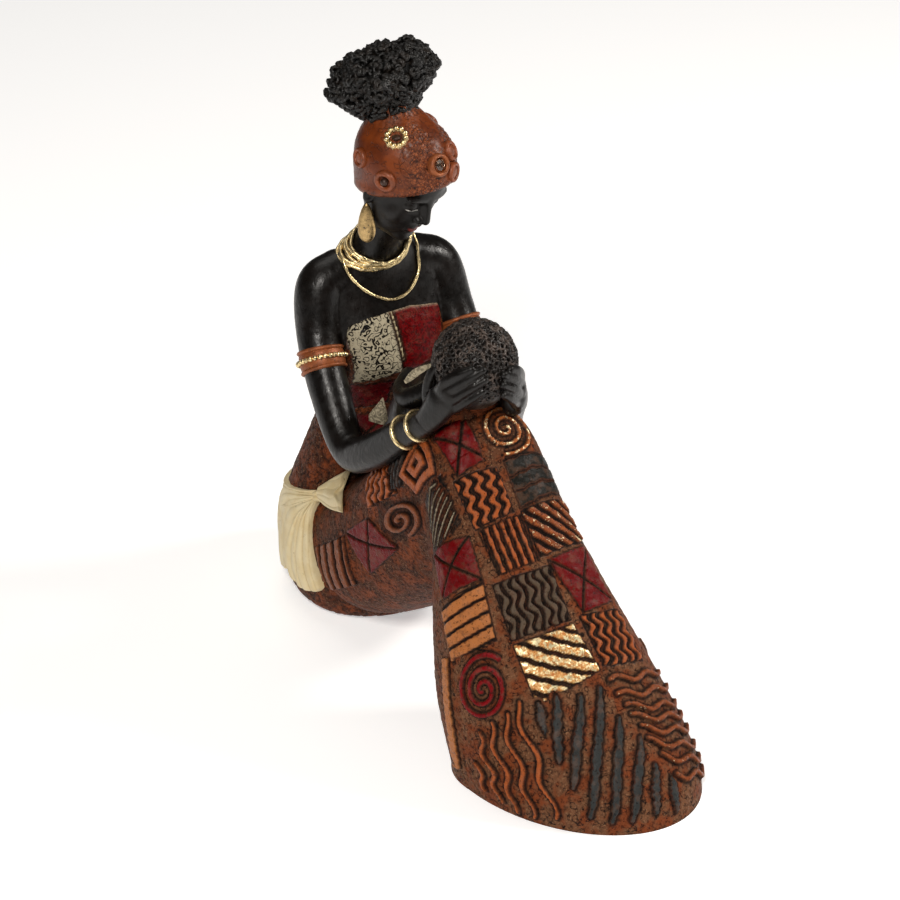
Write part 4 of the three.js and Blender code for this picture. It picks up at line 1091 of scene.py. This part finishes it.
def buttons():
    gold, cup, bead = [buttonFrame(wrap[name]) for name in ("gold", "cup", "bead")]
    foot, out, aside, up = gold
    beads = foot + out * 0.7 + 3.35 * circle(aside, up, angles(11))
    makePiece("wrap_gold_ring", [rim(gold, 2.2, 4.3, 0.9, 60, 0.05, 11)]
              + [blockMesh(ball(b, (1.05, 1.05, 1.05), 10, 12)) for b in beads], goldPaint)
    floorOfCup = blockMesh(turned(cup, [(2.6, -1), (2.6, 0.15), (0.4, 0.15)], 24))
    makePiece("wrap_cup", [rim(cup, 2.45, 4.3, 1.7, 60), floorOfCup], copperPaint)
    blocks = [rim(bead, 2.1, 4.2, 1.2, 48)]
    for direction in wrap["discs"]:
        place = buttonFrame(direction)
        blocks.append(rim(place, 2.2, 3.8, 1.2, 40))
        blocks.append(blockMesh(turned(place, [(2.4, -1), (2.3, 0.5), (1.6, 0.85), (0.4, 0.95)], 32)))
    makePiece("wrap_buttons", blocks,
              metalFinish("wrap_button_paint", shade(134, 66, 30), shade(60, 30, 18), 0.36, 0.5, 0.15))
    makePiece("wrap_beads", [blockMesh(ball(bead[0] + bead[1] * 0.6, (1.5, 1.5, 1.5), 14, 20)),
                             blockMesh(ball(gold[0] + gold[1] * 0.2, (1.7, 1.7, 1.0), 14, 20))],
              metalFinish("bead_paint", shade(66, 44, 34), shade(24, 14, 10), 0.3, 0.5, 0.3))


buttons()
print("wrap done")


# Hair
hair = {
    "foot": (1.5, -12, 13), "axis": (0, -0.8, 0.6),  # in the head's frame
    "shift": (2.4, -1.1, -0.6),  # in the part's frame
    # radius and height of the puff
    "profile": [(7, 0), (8.5, 6), (13.5, 10.5), (18.6, 16.5), (19.2, 21), (15.4, 25.6), (7.5, 28.4)],
    "curls": 960, "capCurls": 60, "capHeight": 28.2, "capRadius": 7.5, "seed": 5,
    "tuft": 5, "tuftLift": 4.4,  # width of the clumps, and how far they stand out, mm
    "curl": (1.15, 0.95, 0.7), "infantCurl": (1.12, 0.5, 0.07),  # ring radius, thread radius, lean
}


def curlRings(feet, out, size, rng):
    # One small ring per foot: it stands a little off the surface and leans at random
    radius, thread, leaning = size
    number = len(feet)
    lean = unit(out + rng.normal(0, leaning, (number, 3)))
    aside = unit(np.cross(lean, rng.normal(0, 1, (number, 3))))
    lean, aside, up = lean[:, None, None], aside[:, None, None], np.cross(lean, aside)[:, None, None]
    size = radius * rng.uniform(0.75, 1.25, (number, 1, 1))
    a, b = angles(9)[None, :, None], angles(4)[None, None]
    swell = size + thread * np.cos(b)
    rise = thread * 1.1 * np.sin(b) + 0.25 * radius * np.sin(a)
    places = feet[:, None, None] + circle(aside, up, a) * swell[..., None] + lean * rise[..., None]
    # painted light and shade: 1 on the outer side of each thread, 0 on its side towards the scalp
    raised = np.broadcast_to(0.5 + 0.5 * np.sin(b), places.shape[:-1])
    return blockMesh(places, ring=True, carried={"raised": raised})


def hairFinish(name, low, high, roughness):  # two shades in patches, and painted shade, near black, on the sides of the curls towards the scalp
    finish = Finish(name)
    fine = finish.grain(1.1, 3)
    colour = finish.blend(finish.step(finish.grain(3.2, 2), 0.45, 0.65), low, high)
    # painted shade: where raised is 0 the colour falls to a quarter of the darker shade
    colour = finish.blend(finish.carried("raised"), tuple(v * 0.25 for v in low), colour)
    return finish.end(Base_Color=colour, Roughness=roughness, Specular_IOR_Level=0.35,
                      Normal=finish.bump(fine, 0.3, 0.9))


def darkBlock(places):  # the scalp under the curls, mostly in painted shade
    return blockMesh(places, carried={"raised": np.full(places.shape[:-1], 0.3)})


def puffPiece():
    # A lumpy lathe form: root + axis height + radius (across cos angle + up sin angle), covered with curls
    rng = np.random.default_rng(hair["seed"])
    axis = unit(onHead(hair["axis"]) - headMiddle)
    across = unit(np.cross((0, 0, 1), axis))
    up = np.cross(axis, across)
    root = onHead(hair["foot"]) + np.array(hair["shift"])
    lump = lambda angle, t: (1 + 0.07 * np.sin(3 * angle + 1.2) + 0.07 * np.sin(5 * angle + 9 * t)
                            + 0.06 * np.sin(9 * angle - 7 * t))
    tuft = lambda places: (clouds(places, hair["tuft"]) - 0.5) * hair["tuftLift"]  # curls stand in clumps

    def spot(t, angle, inset):
        radius, height = np.moveaxis(through(hair["profile"], t), -1, 0)
        radius = np.maximum(radius * lump(angle, t) - inset, 0.5)
        return root + axis * (height - inset * 0.4 * t)[..., None] + circle(across, up, angle) * radius[..., None]

    core = spot(*grid(np.linspace(0, 1, 60), angles(90)), 1.7)
    core = core + ((clouds(core, 2.2) - 0.5) * 1.6 + tuft(core))[..., None] * unit(core - root)
    # curls spread evenly over the area: rows are picked by radius
    t, angle = rng.random(hair["curls"] * 4), rng.uniform(0, 2 * np.pi, hair["curls"] * 4)
    keep = rng.random(len(t)) < through(hair["profile"], t)[..., 0] / 21
    t, angle, inset = t[keep][:hair["curls"]], angle[keep][:hair["curls"]], 1.2
    feet = spot(t, angle, inset)
    down = spot(np.clip(t + 0.01, 0, 1), angle, inset) - spot(np.clip(t - 0.01, 0, 1), angle, inset)
    out = unit(np.cross(spot(t, angle + 0.02, inset) - feet, down))
    out = out * np.sign((out * (feet - (root + axis * 17))).sum(-1, keepdims=True))
    feet = feet + out * tuft(feet)[:, None]
    top = rng.random((hair["capCurls"], 2))
    cap = root + axis * hair["capHeight"]
    cap = cap + circle(across, up, top[:, 1] * 2 * np.pi) * hair["capRadius"] * np.sqrt(top[:, :1])
    feet, out = np.vstack([feet, cap]), np.vstack([out, np.repeat(axis[None], len(cap), 0)])
    makePiece("hair_puff", [darkBlock(core), curlRings(feet, out, hair["curl"], rng)],
              hairFinish("hair_black", shade(10, 8, 6), shade(31, 24, 18), 0.42))


puffPiece()

infant = {
    "head": (-1, 89, 142), "radius": 15, "curls": 640, "seed": 8,
    "faceWay": (0, 0.95, -0.3),  # towards the mother: no curls grow there
    "nape": (8.5, (11.5, 11, 9)),  # mm under the head's middle, radii
    "face": ((0, -6, 0.5), (10.6, 10.6, 11.2)), "nose": ((0, -16, 1.5), (1.6, 1.8, 1.8)),  # from the head; radii
    "hand": ((12, 92, 125), (4, 5, 6)), "knee": ((-2, 85, 120.5), (13, 6, 6)),
    "body": [(0, 78, 130, 7), (-1, 66, 121, 11), (-1, 50, 106, 12), (0, 34, 88, 11)],
    "arm": [(-8, 74, 126, 4.2), (-15, 64, 118, 4), (-13, 54, 117, 3.4), (-8, 49, 119, 2.8)],
    "voxel": 0.0007,
    "cloth": [  # middle line, half width, swell along it
        ([(-20.4, 72.4, 130), (-16.5, 75.6, 135.2), (-10.1, 78.9, 138.7)], 1.5, (0.4, 0.9, 1, 0.8, 0.5, 0.15)),
        ([(-15.4, 42, 107.4), (-16.6, 42, 102.1), (-18.2, 42, 97.4)], 3.7, (0.05, 0.4, 0.75, 1, 0.8))],
}


def infantHair():
    # Curls at even steps of height and of the golden angle round the head
    rng = np.random.default_rng(infant["seed"])
    middle, n = onStand(*infant["head"]), np.arange(infant["curls"])
    height, turn = 1 - 2 * (n + 0.5) / len(n), n * math.pi * (3 - math.sqrt(5))
    side = np.sqrt(1 - height**2)
    way = np.stack([side * np.cos(turn), side * np.sin(turn), height], -1)
    way = unit(way + rng.normal(0, 0.02, (len(n), 3)))
    way = way[way @ unit(np.array(infant["faceWay"])) < 0.55]
    curls = curlRings(middle + way * (infant["radius"] - 0.45), way, hair["infantCurl"], rng)
    core = ball(middle, (infant["radius"] - 0.9,) * 3, 50, 70)
    core = core + (clouds(core, 1.6) - 0.5)[..., None] * unit(core - middle) * 0.5
    sunk, radii = infant["nape"]
    nape = ball(middle - np.array([0, 0, sunk]), radii, 30, 40)
    makePiece("infant_hair", [darkBlock(core), darkBlock(nape), curls],
              hairFinish("infant_hair", shade(34, 29, 26), shade(84, 72, 65), 0.32))


def infantBody():
    onBaby = lambda middle, radii: blockMesh(ball(onStand(*np.add(infant["head"], middle)), radii))
    onLap = lambda middle, radii: blockMesh(ball(onStand(*middle), radii))
    blocks = [onBaby(*infant["face"]), onBaby(*infant["nose"]), blockMesh(tube(infant["body"], 50, 30)),
              blockMesh(tube(infant["arm"], 40, 20)), onLap(*infant["hand"])]
    remeshed(makePiece("infant_body", blocks, skinPaint), infant["voxel"], 4)
    makePiece("dress_knee", [onLap(*infant["knee"])], dressPaint)


def infantCloth():  # patterned cloth: a crescent between the arms, and a corner that hangs between them
    t, s = grid(np.linspace(0, 1, 40), angles(28))
    out, blocks = np.array([-0.42, -0.76, 0.5]), []
    masks = {"ridge": 0, "pad": 1, "leaf": 0, "wash": 0, "scroll": 0.5}
    fields = {name: np.full(t.shape, value) for name, value in masks.items()}
    fields["paint"] = np.broadcast_to((*paints["silver"], 1), (*t.shape, 4))
    for course, wide, swell in infant["cloth"]:
        line = through(onStand(*np.transpose(course)), t)
        width = wide * np.interp(t, np.linspace(0, 1, len(swell)), swell)
        aside = unit(np.cross(line[-1, 0] - line[0, 0], out))
        spot = line + aside * (width * np.cos(s))[..., None] + out * (np.sin(s) * width * 0.4 - 0.4)[..., None]
        blocks.append(blockMesh(spot, carried=fields))
    makePiece("infant_cloth", blocks, dressPaint)


infantHair()
infantBody()
infantCloth()
print("hair and infant done")

# Cream sash
sash = {  # (mm up the body, share round it)
    "knot": (56.5, -0.365), "knob": (2.6, 2.8, 2.6),
    "bandTop": [(59, -0.37), (49, -0.62), (45, -0.8), (43, -1.0), (47, -1.4), (54, -1.6)],
    "bandBottom": [(54, -0.37), (30, -0.58), (20, -0.8), (24, -1.0), (34, -1.4), (49, -1.6)],
    "front": ([(55, -0.385), (41, -0.47), (24, -0.52), (11, -0.47)],
              [(55, -0.362), (46, -0.378), (30, -0.352), (16, -0.3)]),
    "rear": ([(57, -0.38), (45, -0.66), (25, -0.74), (8, -0.76)],
             [(55, -0.37), (42, -0.44), (24, -0.475), (9, -0.54)]),
    "folds": (6, 5, 4.5), "tips": (0, 1.6, 0.8),  # of the band, the rear end and the front end
    "height": 1.5, "thick": (0.8, 1.2, 1.6),  # depth of the folds, and how far each lies off the hip, mm
    # edges of the loose bow end, free of the hip: (x, forward, up)
    "bowTop": [(-27.6, 9.5, 55.5), (-23.6, 13.5, 60.5), (-17.6, 17, 65)],
    "bowBottom": [(-28.6, 11, 50.5), (-30.6, 25, 54.5), (-32, 41.5, 62)],
}


def softFolds(t, s, folds, seed):  # shallow folds that run from the knot and fan out
    wander = s + 0.06 * np.sin(3 * t + seed) + 0.02 * np.sin(9 * t + 2 * seed)
    deep = np.abs(np.sin(np.pi * folds * wander + seed))
    return mix(1, deep**0.5, 0.45 + 0.4 * np.sin(2.3 * wander + seed) ** 2)


def rounded(t, s, tip):  # drawn in towards its edges, with the far corners rounded by tip
    edge = np.minimum(np.minimum(s, 1 - s) * 14, t * 30)
    corner = (1 - t) * 16 - tip * (2 * s - 1) ** 4
    return soft(np.minimum(edge, corner + 0.2))


def foldedCloth(left, right, folds, seed, thick, tip):
    # A strip between two edge curves on the hips, with soft folds that run along it and a turned-in border
    t, s = grid(np.linspace(0, 1, 80), np.linspace(0, 1, 56))
    curl = tip * (2 * s - 1) ** 2 * 0.06
    place = mix(through(left, t * (1 - curl)), through(right, t * (1 - curl)), s[..., None])
    fold, edge = softFolds(t, s, folds, seed), rounded(t, s, tip)
    lift = mix(-1.5, thick + sash["height"] * fold + 0.25 * np.sin(14 * s + 5 * t + seed), edge**0.6)
    return torsoSkin.proud(place[..., 0], place[..., 1], lift), mix(1, fold, edge)


def bowEnd():
    # A flap between two edge curves, hollowed and waved at its free end, with a thin back
    t, s = grid(np.linspace(0, 1, 70), np.linspace(0, 1, 56))
    reach = t * (1 - (0.2 * np.sin(np.pi * s) + 0.04 * np.sin(15 * s)) * t)
    edges = [through(onStand(*np.transpose(sash[name])), reach) for name in ("bowTop", "bowBottom")]
    place = mix(*edges, s[..., None])
    out = unit(np.array([-0.75, -0.5, 0.42]))
    fold, edge = softFolds(t, s, 4, 2.2), rounded(t, s, 0.2)
    lift = mix(0, 1.2 + 0.9 * fold + 1.6 * np.sin(np.pi * s), edge**0.6) + 0.7 * t**2 * np.sin(11 * s + 1)
    front, back = place + out * lift[..., None], place - out * (1.5 * edge)[..., None]
    # the back carries fold 0, so it takes the full painted crease shade
    return np.concatenate([front, back[:, ::-1]], axis=1), np.concatenate([mix(1, fold, edge), 0 * fold], axis=1)


def clothFinish():
    finish = Finish("cream_sash")
    fold, fine = finish.carried("fold"), finish.grain(1.3, 4)
    broad = finish.grain(7, 3)
    colour = finish.blend(finish.step(broad, 0.42, 0.64), paints["cream"], shade(214, 194, 148))
    # painted shade: darker ochre in the creases of the folds and on the backs of the cloth
    colour = finish.blend((1 - finish.step(fold + fine * 0.3, 0.35, 0.95)) * 0.75, colour, paints["ochre"])
    colour = finish.blend(finish.step(finish.grain(3, 5, 0.7), 0.62, 0.72) * 0.5, colour, shade(150, 122, 82))
    return finish.end(Base_Color=colour, Roughness=finish.sheen(fine, 0.42, 0.58),
                      Normal=finish.bump(fine, 0.2, 0.7), Specular_IOR_Level=0.35)


def torsoInside(places):  # the same places drawn 3 mm towards the body's middle line
    core = places * (0, 0, 1) + np.array([-middleX, middleForward, 0])
    return places + unit(core - places) * 3


def sashPiece():
    blocks = []
    courses = [(sash["bandTop"], sash["bandBottom"]), sash["rear"], sash["front"]]
    for n, (course, *numbers) in enumerate(zip(courses, sash["folds"], sash["thick"], sash["tips"])):
        folds, thick, tip = numbers
        places, fold = foldedCloth(*course, folds, n * 1.7, thick, tip)
        # the front and the sunk back, laid side by side round the strip, make a closed tube across it
        both = np.concatenate([places, torsoInside(places)[:, ::-1]], axis=1)
        # the sunk back carries fold 0, so it takes the full painted crease shade
        blocks.append(blockMesh(both, carried={"fold": np.concatenate([fold, fold * 0], axis=1)}))
    places, fold = bowEnd()
    blocks.append(blockMesh(places, carried={"fold": fold}))
    knot = torsoSkin.proud(*sash["knot"], 1.2)
    knob = ball(knot, sash["knob"])
    wrinkle = np.sin(knob[..., 2] * 2.2 + knob[..., 1])
    knob = knob + unit(knob - knot) * (0.25 * wrinkle)[..., None]
    blocks.append(blockMesh(knob, carried={"fold": wrinkle * 0.3 + 0.7}))
    makePiece("hip_sash", blocks, clothFinish())


sashPiece()
print("sash done")

# Jewellery
jewellery = {
    "strands": 5, "wire": 0.72, "loopWire": 0.6,
    "armband": 0.355, "band": (3.7, 0.9),  # share along the arm; half width and height, mm
    "rims": (0.024, 0.8, 1.15),  # how far from the middle of the armband, half width, height
    "beads": 30, "bead": 1.05, "beadLift": 1.25,
    "bracelets": (0.868, 0.945), "bracelet": (0.8, 1.1),
    "earring": (1.7, 3.1, 7.8), "lobe": (15, -1, -11), "drop": (1.6, 0.6, -6.9), "earringTurn": 60,
    # share round the neck, mm up the body: the top strand, the lowest strand, the long loop
    "high": [(-1, 167), (-0.7, 165.5), (-0.4, 163), (-0.2, 160.4), (-0.03, 159), (0.1, 160.6), (0.19, 164),
             (0.26, 167), (0.5, 168), (1, 167)],
    "low": [(-1, 164.5), (-0.7, 160.4), (-0.4, 158.2), (-0.2, 157.2), (-0.03, 156.9), (0.1, 159),
            (0.19, 162.6), (0.26, 166), (0.5, 167.6), (1, 164.5)],
    "loop": [(-1, 163), (-0.7, 161.5), (-0.42, 159), (-0.26, 153.4), (-0.137, 147.4), (-0.018, 144.4),
             (0.1, 145.8), (0.21, 151.6), (0.31, 159), (0.45, 164), (1, 163)],
}


def necklaces():
    share = np.linspace(-1, 1, 150, endpoint=False)
    smooth = lambda row: sum(np.roll(row, n) for n in range(-3, 4)) / 7
    courses = [jewellery[name] for name in ("high", "low", "loop")]
    high, low, loop = [smooth(np.interp(share, *np.transpose(course))) for course in courses]
    strands = jewellery["strands"]
    rows = [(mix(high, low, k / (strands - 1)), jewellery["wire"]) for k in range(strands)]
    blocks = []
    for n, (along, wire) in enumerate(rows + [(loop, jewellery["loopWire"])]):
        along = along + 0.2 * np.sin(share * 19 + n * 2.1)
        line = torsoSkin.proud(along, share, wire * 0.75 + 0.15 + 0.25 * np.sin(share * 13 + n * 2.7))
        blocks.append(blockMesh(ringTube(line, wire * (1 + 0.12 * np.sin(share * 60 + n)), 12), ring=True))
    makePiece("gold_necklaces", blocks, goldPaint)


def bandRound(side, t, half, height, sides=72, rows=14):
    # A ring that follows the arm: its middle line is the arm's surface at t, its section half wide and height high
    joints = np.asarray(armJoints(side), float)
    table = np.hstack([onStand(*joints.T[:3]), joints[:, 3:4]])
    spot, ahead = through(table, np.array(t)), through(table, np.array(t + 0.01))
    way = unit(ahead[:3] - spot[:3])
    aside = unit(np.cross(way, (0, 0, 1)))
    turn, angle = np.meshgrid(angles(rows), angles(sides))
    radius = spot[3] - 0.1 + height * np.cos(turn)
    return (spot[:3] + way * (half * np.sin(turn))[..., None]
            + circle(aside, np.cross(aside, way), angle) * radius[..., None])


def bands():
    armbands, gold, drops = [], [], []
    apart, *rimSize = jewellery["rims"]
    for side in (-1, 1):
        middle = jewellery["armband"]
        for t, size in ((middle, jewellery["band"]), (middle - apart, rimSize), (middle + apart, rimSize)):
            armbands.append(blockMesh(bandRound(side, t, *size), ring=True))
        course = bandRound(side, middle, 0, jewellery["beadLift"], jewellery["beads"], 2)[:, :1, None]
        gold.append(blockMesh(course + ball(np.zeros(3), (jewellery["bead"],) * 3, 8, 12)))
        x, *rest = jewellery["lobe"]
        lobe = onHead((side * x, *rest)) + np.array(jewellery["drop"]) + (side * 0.2, 0, 0)
        drop = ball(lobe, jewellery["earring"], 30, 40)
        drop = drop - lobe
        low = -drop[..., 2] / 9  # wider below
        drop = drop * np.stack([1 + 0 * low, 1 + 0.38 * low, 1 + 0 * low], -1)
        drops.append(blockMesh(lobe + drop @ turnAbout("z", -jewellery["earringTurn"] * side).T))
    makePiece("armbands", armbands, copperPaint)
    gold += [blockMesh(bandRound(-1, t, *jewellery["bracelet"]), ring=True) for t in jewellery["bracelets"]]
    makePiece("gold_bands", gold, goldPaint)
    makePiece("earrings", drops, metalFinish("earring_gold", shade(192, 162, 112), shade(46, 34, 20), 0.26, 1.2))


necklaces()
bands()
print("jewellery done")


# Stone and floor
clearStone = Finish("clear_stone").end(Base_Color=shade(150, 128, 110), Roughness=0.02,
                                       Transmission_Weight=0.9, IOR=1.52)
for piece in bpy.data.objects:
    if piece.type == "MESH" and piece.name.startswith("wrap_stone"):
        piece.data.materials.clear()
        piece.data.materials.append(clearStone)

half, grey = view["floor"], view["floorGrey"]
floorMesh = bpy.data.meshes.new("floor")
floorMesh.from_pydata([(-half, -half, 0), (half, -half, 0), (half, half, 0), (-half, half, 0)], [], [(0, 1, 2, 3)])
floorMesh.materials.append(Finish("floor_paper").end(Base_Color=(grey,) * 3, Roughness=0.9,
                                                     Emission_Color=(1, 1, 1), Emission_Strength=view["floorGlow"]))
floor = bpy.data.objects.new("floor", floorMesh)
bpy.context.collection.objects.link(floor)
floor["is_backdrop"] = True

({"cad": [list(map(float, corner)) for corner in cadBox],
           "visual": [list(map(float, corner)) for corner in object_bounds()]})
